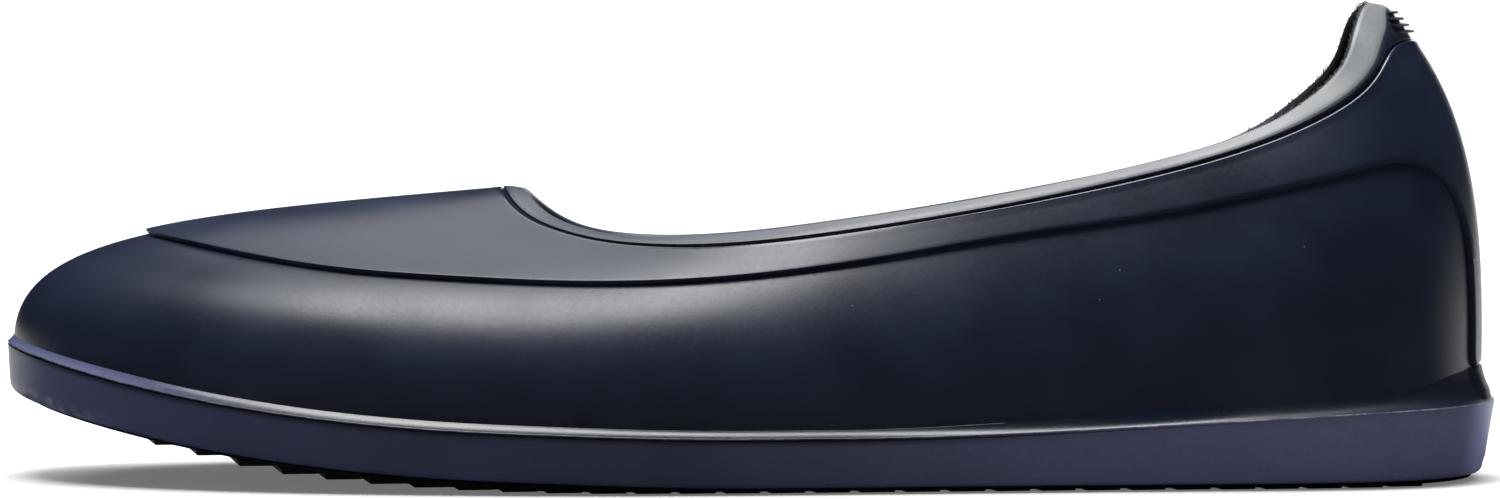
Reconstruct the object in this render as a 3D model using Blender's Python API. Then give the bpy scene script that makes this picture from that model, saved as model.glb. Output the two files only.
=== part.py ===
"""Rubber overshoe for the left foot, standing empty on its sole.

Blender 4.5 script, metres, +Z up. The toe points to -X, the outer (lateral) side
to -Y, the floor is at Z = 0 and the origin is under the middle of the shoe.

Every piece is worked out from one closed outline loop, toe tip, lateral side, heel
and medial side, and from one family of curves that climb from that outline to the
collar rim. A column is one place along the loop, and a height of 0 to 1 is one
place on the climb from the feather line to the rim.
"""
from typing import NamedTuple

import bmesh
import bpy
import numpy as np

# Main sizes of the last
LENGTH = 0.310
BALL_WIDTH = 0.110
HEEL_HEIGHT = 0.0985

# Toe spring, and the share of the length behind which the sole is flat
TOE_SPRING = 0.016
SPRING_END = 0.45
SPRING_POWER = 2.5

# Upper wall and the raised top panel
WALL = 0.0022
GAP = 0.0003
PANEL_WALL = 0.0009
STRIP_HALF = 0.0134
STRIP_EDGE = 0.0010
STRIP_SHOULDER = 0.50
STRIP_CORNER = 0.0245
STRIP_FOOT = 0.0015

# Collar binding, with a grip tab at the heel
BINDING_TAB = 0.0104
BINDING_PROUD = 0.0013
BINDING_DEPTH = 0.0033
BINDING_ROLL = 0.0035
BINDING_ROLL_SHARE = 0.6
BINDING_CREST = 0.0010
RIB_COUNT = 4
RIB_PITCH = 0.0017
RIB_PROUD = 0.0010
RIB_HALF_WIDTH = 0.0006
RIB_HALF_LENGTH = 0.0082
RIB_FIRST = 0.0029
RIB_SINK = 0.0005

# Sidewall band around the sole, and its foot against the upper
BAND_TOE = 0.0102
BAND_MID = 0.0094
BAND_HEEL = 0.0145
BAND_CORNER = 0.0018
BAND_SKIRT = 0.0009
TAPER_TOE = 0.0005
TAPER_MID = 0.0010
TAPER_HEEL = 0.0025
LEDGE_TOE = 0.0013
LEDGE_SIDE = 0.0021
LEDGE_HEEL = 0.0041
FOOT_TOE = 0.0040
FOOT_SIDE = 0.0012
FOOT_HEEL = 0.0070
FOOT_LIP = 0.0004
SHELF_HEIGHT = 0.0032
SHELF_WIDTH = 0.0020

# Outsole: the web under the band, and the lugs that stand on the floor
TREAD_DEPTH = 0.0022
WEB = 0.0009
FLANGE_INSET = 0.0048
LUG_TOE_SHARE = 0.35
LUG_WIDTH = 0.0074
LUG_PITCH = 0.0092
LUG_SWEEP = 0.0075
LUG_SINK = 0.0005
LUG_MARGIN = 0.030
LUG_FIRST_SHARE = 0.075
LUG_LAST_SHARE = 0.950

# Insole
INSOLE_WALL = 0.0022
INSOLE_GAP = 0.0004

# How finely the curves are followed
SIDE_COLUMNS = 36
LOWER_ROWS = 5
PANEL_ROWS = 7


class Station(NamedTuple):
    """One row of the last.

    share: share of LENGTH from the toe, for the outline.
    lateral, medial: outline on either side, shares of BALL_WIDTH.
    rim: where this station's curve meets the collar, share of LENGTH.
    rim_lateral, rim_medial: the rim on either side, shares of BALL_WIDTH.
    lateral_height, medial_height: the rim's height, shares of HEEL_HEIGHT.
    lift: how far the curve climbs straight up, share of its rise.
    swell: how far it bulges outwards, share of BALL_WIDTH.
    reach, drop: where it turns in to the rim, shares of its run and rise.
    panel: lower edge of the top panel, a height of 0 to 1.
    binding: width of the collar binding, share of BINDING_TAB.
    """

    share: float
    lateral: float
    medial: float
    rim: float
    rim_lateral: float
    rim_medial: float
    lateral_height: float
    medial_height: float
    lift: float
    swell: float
    reach: float
    drop: float
    panel: float
    binding: float


STATIONS = (
    Station(0.000, 0.060, 0.060, 0.348, 0.000, 0.000, 0.606, 0.606, 0.74, 0.000, 0.635, 0.20, 0.500, 0.42),
    Station(0.020, -0.128, 0.248, 0.350, -0.042, 0.046, 0.603, 0.603, 0.74, 0.006, 0.62, 0.20, 0.505, 0.44),
    Station(0.070, -0.268, 0.362, 0.355, -0.084, 0.088, 0.588, 0.586, 0.72, 0.012, 0.60, 0.20, 0.515, 0.49),
    Station(0.150, -0.388, 0.437, 0.366, -0.133, 0.132, 0.560, 0.555, 0.68, 0.020, 0.59, 0.22, 0.555, 0.49),
    Station(0.250, -0.464, 0.474, 0.385, -0.182, 0.176, 0.536, 0.522, 0.62, 0.026, 0.59, 0.24, 0.625, 0.44),
    Station(0.360, -0.500, 0.462, 0.420, -0.230, 0.220, 0.519, 0.500, 0.56, 0.030, 0.60, 0.26, 0.685, 0.41),
    Station(0.470, -0.492, 0.405, 0.480, -0.262, 0.248, 0.524, 0.500, 0.51, 0.030, 0.60, 0.27, 0.725, 0.42),
    Station(0.580, -0.456, 0.355, 0.560, -0.276, 0.258, 0.555, 0.529, 0.46, 0.024, 0.62, 0.28, 0.765, 0.37),
    Station(0.690, -0.416, 0.338, 0.655, -0.272, 0.252, 0.602, 0.577, 0.44, 0.018, 0.68, 0.28, 0.800, 0.31),
    Station(0.800, -0.384, 0.346, 0.755, -0.252, 0.236, 0.667, 0.639, 0.42, 0.014, 0.78, 0.28, 0.785, 0.31),
    Station(0.900, -0.345, 0.335, 0.838, -0.216, 0.206, 0.746, 0.722, 0.40, 0.010, 0.90, 0.27, 0.770, 0.37),
    Station(0.955, -0.272, 0.270, 0.881, -0.182, 0.176, 0.820, 0.812, 0.40, 0.008, 0.98, 0.26, 0.735, 0.45),
    Station(0.984, -0.172, 0.173, 0.903, -0.152, 0.148, 0.893, 0.890, 0.40, 0.007, 1.02, 0.25, 0.720, 0.50),
    Station(0.9965, -0.082, 0.083, 0.912, -0.092, 0.092, 0.965, 0.965, 0.40, 0.007, 1.03, 0.25, 0.710, 0.70),
    Station(1.000, 0.000, 0.000, 0.919, 0.000, 0.000, 1.002, 1.002, 0.40, 0.007, 1.03, 0.25, 0.710, 1.00),
)

# Columns of one side of the loop: share, width, rim, rim width, rim height, and the rest
SHARE, WIDTH, RIM, RIM_WIDTH, RIM_HEIGHT, LIFT, SWELL, REACH, DROP, PANEL, BINDING = range(11)


def clear_scene():
    """Remove the objects that the file starts with."""
    for item in list(bpy.data.objects):
        bpy.data.objects.remove(item, do_unlink=True)


def make_material(name, colour, roughness):
    """A plain rubber or cloth finish."""
    material = bpy.data.materials.new(name)
    material.use_nodes = True
    shader = material.node_tree.nodes["Principled BSDF"]
    shader.inputs["Base Color"].default_value = (*colour, 1.0)
    shader.inputs["Roughness"].default_value = roughness
    shader.inputs["Metallic"].default_value = 0.0
    return material


def ramp(value, low, high):
    """Smooth step from 0 at low to 1 at high."""
    share = np.clip((value - low) / (high - low), 0.0, 1.0)
    return share * share * (3.0 - 2.0 * share)


def closed_curve(keys, rows, period):
    """A smooth closed curve through the rows, as a function of the place along it."""
    count = len(keys)
    gaps = np.diff(np.append(keys, keys[0] + period))
    slopes = (np.roll(rows, -1, axis=0) - rows) / gaps[:, None]
    system = np.zeros((count, count))
    for i in range(count):
        system[i, i - 1] += gaps[i - 1]
        system[i, i] += 2.0 * (gaps[i - 1] + gaps[i])
        system[i, (i + 1) % count] += gaps[i]
    bends = np.linalg.solve(system, 6.0 * (slopes - np.roll(slopes, 1, axis=0)))

    def curve(place):
        place = np.mod(place, period)
        i = np.clip(np.searchsorted(keys, place, side="right") - 1, 0, count - 1)
        j = (i + 1) % count
        gap = gaps[i][:, None]
        after = (place - keys[i])[:, None] / gap
        before = 1.0 - after
        bend = (before ** 3 - before) * bends[i] + (after ** 3 - after) * bends[j]
        return before * rows[i] + after * rows[j] + bend * gap * gap / 6.0

    return curve


def loop_rows():
    """The stations as one closed loop: toe, lateral side, heel, medial side."""
    lateral = [(s.share, s.lateral, s.rim, s.rim_lateral, s.lateral_height, *s[8:]) for s in STATIONS]
    medial = [(s.share, s.medial, s.rim, s.rim_medial, s.medial_height, *s[8:]) for s in STATIONS]
    return np.array(lateral + medial[-2:0:-1])


ROWS = loop_rows()
CORNERS = ROWS[:, [SHARE, WIDTH]] * (LENGTH, BALL_WIDTH)
CHORDS = np.linalg.norm(np.roll(CORNERS, -1, axis=0) - CORNERS, axis=1)
KEYS = np.concatenate(([0.0], np.cumsum(CHORDS)[:-1]))
AROUND = float(CHORDS.sum())
HEEL_PLACE = float(KEYS[len(STATIONS) - 1])
LAST = closed_curve(KEYS, ROWS, AROUND)


def outline(place):
    """Outer top edge of the sidewall band, measured from the toe tip."""
    return LAST(place)[:, [SHARE, WIDTH]] * (LENGTH, BALL_WIDTH)


def outward(place):
    """Level unit vector that points out of the shoe."""
    step = 1e-5
    along = outline(place + step) - outline(place - step)
    along /= np.linalg.norm(along, axis=1)[:, None]
    return np.column_stack((along[:, 1], -along[:, 0]))


def spring(share):
    """Height of the sole's underside over the floor."""
    return TOE_SPRING * np.clip(1.0 - share / SPRING_END, 0.0, 1.0) ** SPRING_POWER


def band_under(share):
    """Lower edge of the sidewall band."""
    return TREAD_DEPTH + spring(share)


def along_shoe(share, toe, side, heel, toe_end, heel_start):
    """A size that changes from the toe to the sides and from the sides to the heel."""
    at_toe = 1.0 - ramp(share, 0.0, toe_end)
    at_heel = ramp(share, heel_start, 1.0)
    return side + (toe - side) * at_toe + (heel - side) * at_heel


def band_foot(share):
    """Height of the band's outer lower edge, which hangs lower where the sole is flat."""
    return band_under(share) - BAND_SKIRT * ramp(share, 0.34, 0.50)


def band_top(share):
    """Upper edge of the sidewall band, the feather line."""
    forward = (BAND_MID - BAND_TOE) * ramp(share, 0.34, 0.50)
    back = (BAND_HEEL - BAND_MID) * ramp(share, 0.56, 1.04)
    return band_under(share) + BAND_TOE + forward + back


def ledge(share):
    """Width of the step from the band's outer face to the upper."""
    return along_shoe(share, LEDGE_TOE, LEDGE_SIDE, LEDGE_HEEL, 0.08, 0.85)


def foot_height(share):
    """Height of the hollow fillet that runs from the band up the upper."""
    return along_shoe(share, FOOT_TOE, FOOT_SIDE, FOOT_HEEL, 0.10, 0.92)


def shelf_level(share):
    """Level at which the upper and the insole are seated."""
    return band_under(share) + SHELF_HEIGHT


def surface(place, height):
    """Outer face of the upper's wall at a place along the loop and a height of 0 to 1."""
    row = LAST(place)
    out = outward(place)
    foot = outline(place) - out * ledge(row[:, SHARE])[:, None]
    rim = row[:, [RIM, RIM_WIDTH]] * (LENGTH, BALL_WIDTH)
    low = band_top(row[:, SHARE])
    high = row[:, RIM_HEIGHT] * HEEL_HEIGHT
    rise = high - low
    start = np.column_stack((foot, low))
    climb = np.column_stack((foot + out * (row[:, SWELL] * BALL_WIDTH)[:, None], low + row[:, LIFT] * rise))
    turn = np.column_stack((rim + (foot - rim) * row[:, REACH][:, None], high - row[:, DROP] * rise))
    end = np.column_stack((rim, high))
    after = np.asarray(height)[:, None]
    before = 1.0 - after
    return (before ** 3 * start + 3.0 * before * before * after * climb
            + 3.0 * before * after * after * turn + after ** 3 * end)


def directions(place, height):
    """Unit vectors at a point of the surface: up its climb, and out of the wall."""
    step = 1e-4
    round_shoe = surface(place + step, height) - surface(place - step, height)
    up = surface(place, height + step) - surface(place, height - step)
    out = np.cross(round_shoe, up)
    up /= np.linalg.norm(up, axis=1)[:, None]
    out /= np.linalg.norm(out, axis=1)[:, None]
    return up, out


def skin(place, height, offset):
    """A point of the wall's outer face, moved out of the wall by an offset."""
    height = np.broadcast_to(height, place.shape)
    return surface(place, height) + directions(place, height)[1] * offset


def below_rim(place, distance):
    """Height of 0 to 1 at a distance below the rim, measured on the surface."""
    steps = np.linspace(1.0, 0.4, 61)
    track = np.array([surface(place, np.full(place.shape, step)) for step in steps])
    run = np.cumsum(np.linalg.norm(np.diff(track, axis=0), axis=2), axis=0)
    run = np.vstack((np.zeros(len(place)), run))
    return np.array([np.interp(d, run[:, i], steps) for i, d in enumerate(distance)])


def place_of_share(share, lateral):
    """The place along the loop, on one side, of a share of the length."""
    start, end = (0.0, HEEL_PLACE) if lateral else (AROUND, HEEL_PLACE)
    places = np.linspace(start, end, 4001)
    return np.interp(share, LAST(places)[:, SHARE], places)


def side_places(lateral):
    """Places of one side's columns, close together at both ends, with two on the back strip's edge."""
    shares = 0.5 - 0.5 * np.cos(np.linspace(0.0, np.pi, SIDE_COLUMNS))
    places = place_of_share(shares, lateral)
    away = -1.0 if lateral else 1.0
    edge = HEEL_PLACE + away * STRIP_HALF
    nearest = int(np.abs(places - edge).argmin())
    places[nearest] = edge
    return np.insert(places, nearest, edge + away * STRIP_EDGE)


LATERAL = side_places(True)
MEDIAL = side_places(False)
COLUMNS = np.concatenate((LATERAL, MEDIAL[-2:0:-1]))
COLUMN_SHARES = LAST(COLUMNS)[:, SHARE]
BINDING_WIDTHS = LAST(COLUMNS)[:, BINDING] * BINDING_TAB
OUTLINE_POINTS = outline(np.linspace(0.0, AROUND, 2000))
MIDDLE = (OUTLINE_POINTS.max(axis=0) + OUTLINE_POINTS.min(axis=0)) / 2.0


def centred(points):
    """Move points from the toe tip's frame to the frame of the part."""
    return points - np.array((MIDDLE[0], MIDDLE[1], 0.0))


def in_section(inset, level, above=0.0):
    """A point of each column at an inset from the outline, some way above one of the sole's levels."""
    inset = np.broadcast_to(inset, COLUMNS.shape)[:, None]
    points = outline(COLUMNS) - outward(COLUMNS) * inset
    return np.column_stack((points, level(points[:, 0] / LENGTH) + above))


def add_object(name, mesh_data, material, collection):
    """Put a bmesh in the scene as a named object with outward faces."""
    bmesh.ops.recalc_face_normals(mesh_data, faces=mesh_data.faces)
    mesh = bpy.data.meshes.new(name)
    mesh_data.to_mesh(mesh)
    mesh_data.free()
    mesh.shade_smooth()
    mesh.set_sharp_from_angle(angle=np.radians(40.0))
    mesh.materials.append(material)
    item = bpy.data.objects.new(name, mesh)
    collection.objects.link(item)
    return item


def ring(name, outer, inner, material, collection):
    """A closed ring around the shoe, from the outer and inner face's rows, each from low to high."""
    mesh_data = bmesh.new()
    points = centred(np.array(outer + inner[::-1]))
    grid = [[mesh_data.verts.new(point) for point in row] for row in points]
    for i, row in enumerate(grid):
        following = grid[(i + 1) % len(grid)]
        for j in range(len(row)):
            k = (j + 1) % len(row)
            if i < len(outer):
                mesh_data.faces.new((row[j], row[k], following[k]))
                mesh_data.faces.new((row[j], following[k], following[j]))
            else:
                mesh_data.faces.new((row[j], row[k], following[j]))
                mesh_data.faces.new((row[k], following[k], following[j]))
    return add_object(name, mesh_data, material, collection)


def plate(name, edge, material, collection):
    """A closed plate: edge points from its top to its underside, each given for all columns."""
    mesh_data = bmesh.new()
    points = centred(np.array(edge))
    grid = [[mesh_data.verts.new(point) for point in row] for row in points]
    count = len(COLUMNS)
    for row, following in zip(grid, grid[1:]):
        for j in range(count):
            k = (j + 1) % count
            mesh_data.faces.new((row[j], row[k], following[k], following[j]))
    for row in (grid[0], grid[-1]):
        for j in range(SIDE_COLUMNS):
            corners = [row[j], row[j + 1], row[(count - j - 1) % count], row[(count - j) % count]]
            mesh_data.faces.new(list(dict.fromkeys(corners)))
    return add_object(name, mesh_data, material, collection)


def panel_edge(place, share):
    """Lower edge of the top panel, which runs down to the band in a strip behind the heel."""
    along = np.abs(place - HEEL_PLACE) - STRIP_HALF
    turn = np.clip((along - STRIP_EDGE) / STRIP_CORNER, 0.0, 1.0)
    rounded = STRIP_SHOULDER + (1.0 - STRIP_SHOULDER) * np.sqrt(1.0 - (1.0 - turn) ** 2)
    rise = LAST(place)[:, RIM_HEIGHT] * HEEL_HEIGHT - band_top(share)
    foot = (foot_height(share) + STRIP_FOOT) / (3.0 * LAST(place)[:, LIFT] * rise)
    on_strip = along < STRIP_EDGE / 2.0
    return np.where(on_strip, foot, LAST(place)[:, PANEL] * rounded)


def panel_climb():
    """Heights from the panel's lower edge to just under the binding, for all columns."""
    low = panel_edge(COLUMNS, COLUMN_SHARES)
    high = below_rim(COLUMNS, BINDING_WIDTHS + GAP)
    return [low + (high - low) * share for share in np.linspace(0.0, 1.0, PANEL_ROWS + 1)]


def build_upper(material, collection):
    """The moulded wall: seated in the band, open at the collar and underneath."""
    inset = ledge(COLUMN_SHARES)
    covered = panel_climb()
    climb = [covered[0] * share for share in np.linspace(0.0, 1.0, LOWER_ROWS, endpoint=False)] + covered
    outer = [in_section(inset, shelf_level, GAP)]
    outer += [skin(COLUMNS, height, 0.0) for height in climb]
    inner = [in_section(inset + WALL, shelf_level, GAP)]
    inner += [skin(COLUMNS, height, -WALL) for height in climb]
    return ring("upper", outer, inner, material, collection)


def build_top_panel(material, collection):
    """The raised panel over the instep, along the collar and down the back."""
    climb = panel_climb()
    outer = [skin(COLUMNS, height, GAP + PANEL_WALL) for height in climb]
    inner = [skin(COLUMNS, height, GAP) for height in climb]
    return ring("top_panel", outer, inner, material, collection)


def add_ribs(binding, collection):
    """Short level ribs across the back of the heel tab, joined to it."""
    mesh_data = bmesh.new()
    places = HEEL_PLACE + np.linspace(-RIB_HALF_LENGTH, RIB_HALF_LENGTH, 7)
    fade = 1.0 - np.linspace(-1.0, 1.0, len(places)) ** 4
    proud = BINDING_PROUD + (RIB_PROUD + RIB_SINK) * fade - RIB_SINK
    narrowing = LAST(places)[:, BINDING]
    for number in range(RIB_COUNT):
        distance = RIB_FIRST + number * RIB_PITCH
        levels = (distance + RIB_HALF_WIDTH, distance, distance - RIB_HALF_WIDTH)
        heights = [below_rim(places, narrowing * level) for level in levels]
        sunk = np.full(places.shape, BINDING_PROUD - RIB_SINK * 2.0)
        section = (
            skin(places, heights[0], sunk[:, None]),
            skin(places, heights[1], proud[:, None]),
            skin(places, heights[2], sunk[:, None]),
        )
        rows = [[mesh_data.verts.new(p) for p in centred(points)] for points in section]
        for i, row in enumerate(rows):
            following = rows[(i + 1) % len(rows)]
            for j in range(len(places) - 1):
                mesh_data.faces.new((row[j], row[j + 1], following[j + 1], following[j]))
        mesh_data.faces.new([row[0] for row in rows])
        mesh_data.faces.new([row[-1] for row in rows])
    ribs = add_object("rib_tool", mesh_data, binding.data.materials[0], collection)
    union = binding.modifiers.new("ribs", "BOOLEAN")
    union.operation = "UNION"
    union.object = ribs


def build_binding(material, collection, tools):
    """The rolled collar binding, with its ribbed grip tab at the heel."""
    roll = np.minimum(BINDING_WIDTHS * BINDING_ROLL_SHARE, BINDING_ROLL)
    low = below_rim(COLUMNS, BINDING_WIDTHS)
    middle = below_rim(COLUMNS, (BINDING_WIDTHS + roll) / 2.0)
    high = below_rim(COLUMNS, roll)
    rim = np.ones(COLUMNS.shape)
    up, out = directions(COLUMNS, rim)
    crest = surface(COLUMNS, rim)
    half = np.sqrt(0.5)
    shoulder = crest - up * (roll * (1.0 - half))[:, None]
    outer = [
        skin(COLUMNS, low, BINDING_PROUD),
        skin(COLUMNS, middle, BINDING_PROUD),
        skin(COLUMNS, high, BINDING_PROUD),
        shoulder + out * ((BINDING_PROUD + BINDING_CREST) * half - BINDING_CREST),
        crest - out * BINDING_CREST,
    ]
    inner = [
        skin(COLUMNS, low, -BINDING_DEPTH),
        skin(COLUMNS, high, -BINDING_DEPTH),
        shoulder - out * (BINDING_CREST + (BINDING_DEPTH - BINDING_CREST) * half),
    ]
    binding = ring("collar_binding", outer, inner, material, collection)
    add_ribs(binding, tools)
    return binding


def build_sidewall(material, collection):
    """The band around the sole, with a shelf that the upper stands on."""
    taper = along_shoe(COLUMN_SHARES, TAPER_TOE, TAPER_MID, TAPER_HEEL, 0.30, 0.60)
    step = ledge(COLUMN_SHARES)
    foot = foot_height(COLUMN_SHARES)
    corner = BAND_CORNER * (1.0 - np.sqrt(0.5))
    outer = [
        in_section(step + WALL + SHELF_WIDTH, band_under),
        in_section(FLANGE_INSET - GAP, band_under),
        in_section(taper + BAND_CORNER, band_foot),
        in_section(taper + corner, band_foot, corner),
        in_section(taper, band_foot, BAND_CORNER),
        in_section(0.0, band_top),
        in_section((step - GAP) / 2.0, band_top, foot / 4.0),
        in_section(step - GAP - FOOT_LIP, band_top, foot),
    ]
    inner = [
        in_section(step + WALL + SHELF_WIDTH, shelf_level),
        in_section(step - GAP, shelf_level),
        in_section(step - GAP, band_top, foot),
    ]
    return ring("sidewall", outer, inner, material, collection)


def tread_point(share, across, drop):
    """A point under the sole, at a share of the length and of the way across it."""
    share = np.atleast_1d(share)
    sides = []
    for lateral in (True, False):
        place = place_of_share(share, lateral)
        sides.append(outline(place) - outward(place) * FLANGE_INSET)
    point = sides[0] + (sides[1] - sides[0]) * across
    level = band_under(point[:, 0] / LENGTH) - GAP - WEB - drop
    return np.column_stack((point, level))[0]


def add_lugs(outsole, collection):
    """Chevron lugs across the sole from toe to heel, joined to the outsole."""
    mesh_data = bmesh.new()
    count = int((LUG_LAST_SHARE - LUG_FIRST_SHARE) * LENGTH / LUG_PITCH)
    for number in range(count):
        front = LUG_FIRST_SHARE + number * LUG_PITCH / LENGTH
        back = front + LUG_WIDTH / LENGTH
        sweep = LUG_SWEEP / LENGTH
        corners = (
            (front + sweep, LUG_MARGIN), (front, 0.5), (front + sweep, 1.0 - LUG_MARGIN),
            (back + sweep, 1.0 - LUG_MARGIN), (back, 0.5), (back + sweep, LUG_MARGIN),
        )
        levels = []
        for sunk in (True, False):
            row = []
            for share, across in corners:
                deep = LUG_TOE_SHARE + (1.0 - LUG_TOE_SHARE) * ramp(share, 0.11, 0.20)
                drop = -LUG_SINK if sunk else (TREAD_DEPTH - GAP - WEB) * deep
                point = tread_point(share, across, drop)
                row.append(mesh_data.verts.new(centred(point)))
            levels.append(row)
        upper, lower = levels
        for i in range(len(corners)):
            j = (i + 1) % len(corners)
            mesh_data.faces.new((upper[i], upper[j], lower[j], lower[i]))
        for row in levels:
            mesh_data.faces.new((row[0], row[1], row[4], row[5]))
            mesh_data.faces.new((row[1], row[2], row[3], row[4]))
    lugs = add_object("lug_tool", mesh_data, outsole.data.materials[0], collection)
    union = outsole.modifiers.new("lugs", "BOOLEAN")
    union.operation = "UNION"
    union.object = lugs


def build_outsole(material, collection, tools):
    """The tread plate: a web under the band, a core inside it, and the lugs."""
    core = ledge(COLUMN_SHARES) + WALL + SHELF_WIDTH + GAP
    edge = [
        in_section(core, shelf_level),
        in_section(core, band_under, -GAP),
        in_section(FLANGE_INSET, band_under, -GAP),
        in_section(FLANGE_INSET, band_under, -GAP - WEB),
    ]
    outsole = plate("outsole", edge, material, collection)
    add_lugs(outsole, tools)
    return outsole


def build_insole(material, collection):
    """The thin footbed inside the upper's wall."""
    inset = ledge(COLUMN_SHARES) + WALL + INSOLE_GAP
    edge = [in_section(inset, shelf_level, GAP + INSOLE_WALL), in_section(inset, shelf_level, GAP)]
    return plate("insole", edge, material, collection)


def main():
    """Build the overshoe piece by piece."""
    clear_scene()
    shoe = bpy.data.collections.new("overshoe")
    tools = bpy.data.collections.new("tools")
    for collection in (shoe, tools):
        bpy.context.scene.collection.children.link(collection)

    rubber = make_material("rubber_navy", (0.013, 0.015, 0.024), 0.42)
    panel_rubber = make_material("rubber_navy_panel", (0.014, 0.016, 0.026), 0.40)
    binding_rubber = make_material("rubber_binding", (0.015, 0.017, 0.026), 0.38)
    band_rubber = make_material("rubber_band", (0.018, 0.020, 0.036), 0.45)
    tread_rubber = make_material("rubber_tread", (0.006, 0.006, 0.007), 0.60)
    footbed = make_material("cloth_footbed", (0.010, 0.010, 0.011), 0.90)

    build_upper(rubber, shoe)
    build_top_panel(panel_rubber, shoe)
    build_binding(binding_rubber, shoe, tools)
    build_sidewall(band_rubber, shoe)
    build_outsole(tread_rubber, shoe, tools)
    build_insole(footbed, shoe)

    for tool in tools.objects:
        tool.hide_render = True
        tool.display_type = "WIRE"


main()
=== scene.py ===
"""Looks of the left rubber overshoe: fine forms, lining, finishes, floor, light and camera.

All sizes are in metres. The toe points to -X, the outer side to -Y and the floor is at Z = 0.
"""
import logging
import math
from collections.abc import Callable, Mapping, Sequence
from dataclasses import dataclass, field
from enum import Enum
from typing import NamedTuple

import bmesh
import bpy
import numpy as np
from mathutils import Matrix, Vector


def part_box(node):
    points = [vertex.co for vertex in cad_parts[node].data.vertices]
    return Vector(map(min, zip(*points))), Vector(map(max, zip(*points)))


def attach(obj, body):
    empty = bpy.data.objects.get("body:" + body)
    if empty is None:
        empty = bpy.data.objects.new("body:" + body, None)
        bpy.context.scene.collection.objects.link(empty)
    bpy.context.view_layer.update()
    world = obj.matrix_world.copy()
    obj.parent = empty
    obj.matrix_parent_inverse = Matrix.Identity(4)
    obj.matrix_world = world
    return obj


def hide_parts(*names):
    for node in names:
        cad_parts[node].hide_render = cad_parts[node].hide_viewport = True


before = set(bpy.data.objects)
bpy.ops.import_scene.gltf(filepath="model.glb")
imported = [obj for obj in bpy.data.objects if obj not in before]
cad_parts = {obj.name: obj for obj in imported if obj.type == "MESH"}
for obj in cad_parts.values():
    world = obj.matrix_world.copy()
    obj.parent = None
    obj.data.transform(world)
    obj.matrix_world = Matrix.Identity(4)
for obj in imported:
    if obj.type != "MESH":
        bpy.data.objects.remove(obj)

log = logging.getLogger("overshoe")

Array = np.ndarray
Colour = tuple[float, float, float]
BODY = "root"


class Side(Enum):
    """The two sides of the shoe's outline loop."""

    LATERAL = "lateral"
    MEDIAL = "medial"


class Station(NamedTuple):
    """One row of the last, with its lengths as shares of the shoe's own sizes.

    Attributes:
        share: place along the shoe from the toe, share of the length.
        lateral: outline on the outer side, share of the ball width.
        medial: outline on the inner side, share of the ball width.
        rim: where this row's curve meets the collar, share of the length.
        rim_lateral: the collar on the outer side, share of the ball width.
        rim_medial: the collar on the inner side, share of the ball width.
        lateral_height: the collar's height on the outer side, share of the heel height.
        medial_height: the collar's height on the inner side, share of the heel height.
        lift: how far the curve climbs straight up, share of its rise.
        swell: how far it bulges outwards, share of the ball width.
        reach: where it turns in to the collar, share of its run.
        drop: where it turns in to the collar, share of its rise.
        panel: lower edge of the top panel, a height of 0 to 1.
        binding: width of the collar binding, share of its widest.
    """

    share: float
    lateral: float
    medial: float
    rim: float
    rim_lateral: float
    rim_medial: float
    lateral_height: float
    medial_height: float
    lift: float
    swell: float
    reach: float
    drop: float
    panel: float
    binding: float


STATIONS = (
    Station(0.000, 0.060, 0.060, 0.348, 0.000, 0.000, 0.606, 0.606, 0.74, 0.000, 0.635, 0.20, 0.500, 0.42),
    Station(0.020, -0.128, 0.248, 0.350, -0.042, 0.046, 0.603, 0.603, 0.74, 0.006, 0.62, 0.20, 0.505, 0.44),
    Station(0.070, -0.268, 0.362, 0.355, -0.084, 0.088, 0.588, 0.586, 0.72, 0.012, 0.60, 0.20, 0.515, 0.49),
    Station(0.150, -0.388, 0.437, 0.366, -0.133, 0.132, 0.560, 0.555, 0.68, 0.020, 0.59, 0.22, 0.555, 0.49),
    Station(0.250, -0.464, 0.474, 0.385, -0.182, 0.176, 0.536, 0.522, 0.62, 0.026, 0.59, 0.24, 0.625, 0.44),
    Station(0.360, -0.500, 0.462, 0.420, -0.230, 0.220, 0.519, 0.500, 0.56, 0.030, 0.60, 0.26, 0.685, 0.41),
    Station(0.470, -0.492, 0.405, 0.480, -0.262, 0.248, 0.524, 0.500, 0.51, 0.030, 0.60, 0.27, 0.725, 0.42),
    Station(0.580, -0.456, 0.355, 0.560, -0.276, 0.258, 0.555, 0.529, 0.46, 0.024, 0.62, 0.28, 0.765, 0.37),
    Station(0.690, -0.416, 0.338, 0.655, -0.272, 0.252, 0.602, 0.577, 0.44, 0.018, 0.68, 0.28, 0.800, 0.31),
    Station(0.800, -0.384, 0.346, 0.755, -0.252, 0.236, 0.667, 0.639, 0.42, 0.014, 0.78, 0.28, 0.785, 0.31),
    Station(0.900, -0.345, 0.335, 0.838, -0.216, 0.206, 0.746, 0.722, 0.40, 0.010, 0.90, 0.27, 0.770, 0.37),
    Station(0.955, -0.272, 0.270, 0.881, -0.182, 0.176, 0.820, 0.812, 0.40, 0.008, 0.98, 0.26, 0.735, 0.45),
    Station(0.984, -0.172, 0.173, 0.903, -0.152, 0.148, 0.893, 0.890, 0.40, 0.007, 1.02, 0.25, 0.720, 0.50),
    Station(0.9965, -0.082, 0.083, 0.912, -0.092, 0.092, 0.965, 0.965, 0.40, 0.007, 1.03, 0.25, 0.710, 0.70),
    Station(1.000, 0.000, 0.000, 0.919, 0.000, 0.000, 1.002, 1.002, 0.40, 0.007, 1.03, 0.25, 0.710, 1.00),
)


class Row(Enum):
    """Columns of one side's table: the station's values for that side."""

    SHARE = 0
    WIDTH = 1
    RIM = 2
    RIM_WIDTH = 3
    RIM_HEIGHT = 4
    LIFT = 5
    SWELL = 6
    REACH = 7
    DROP = 8
    PANEL = 9
    BINDING = 10


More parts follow.
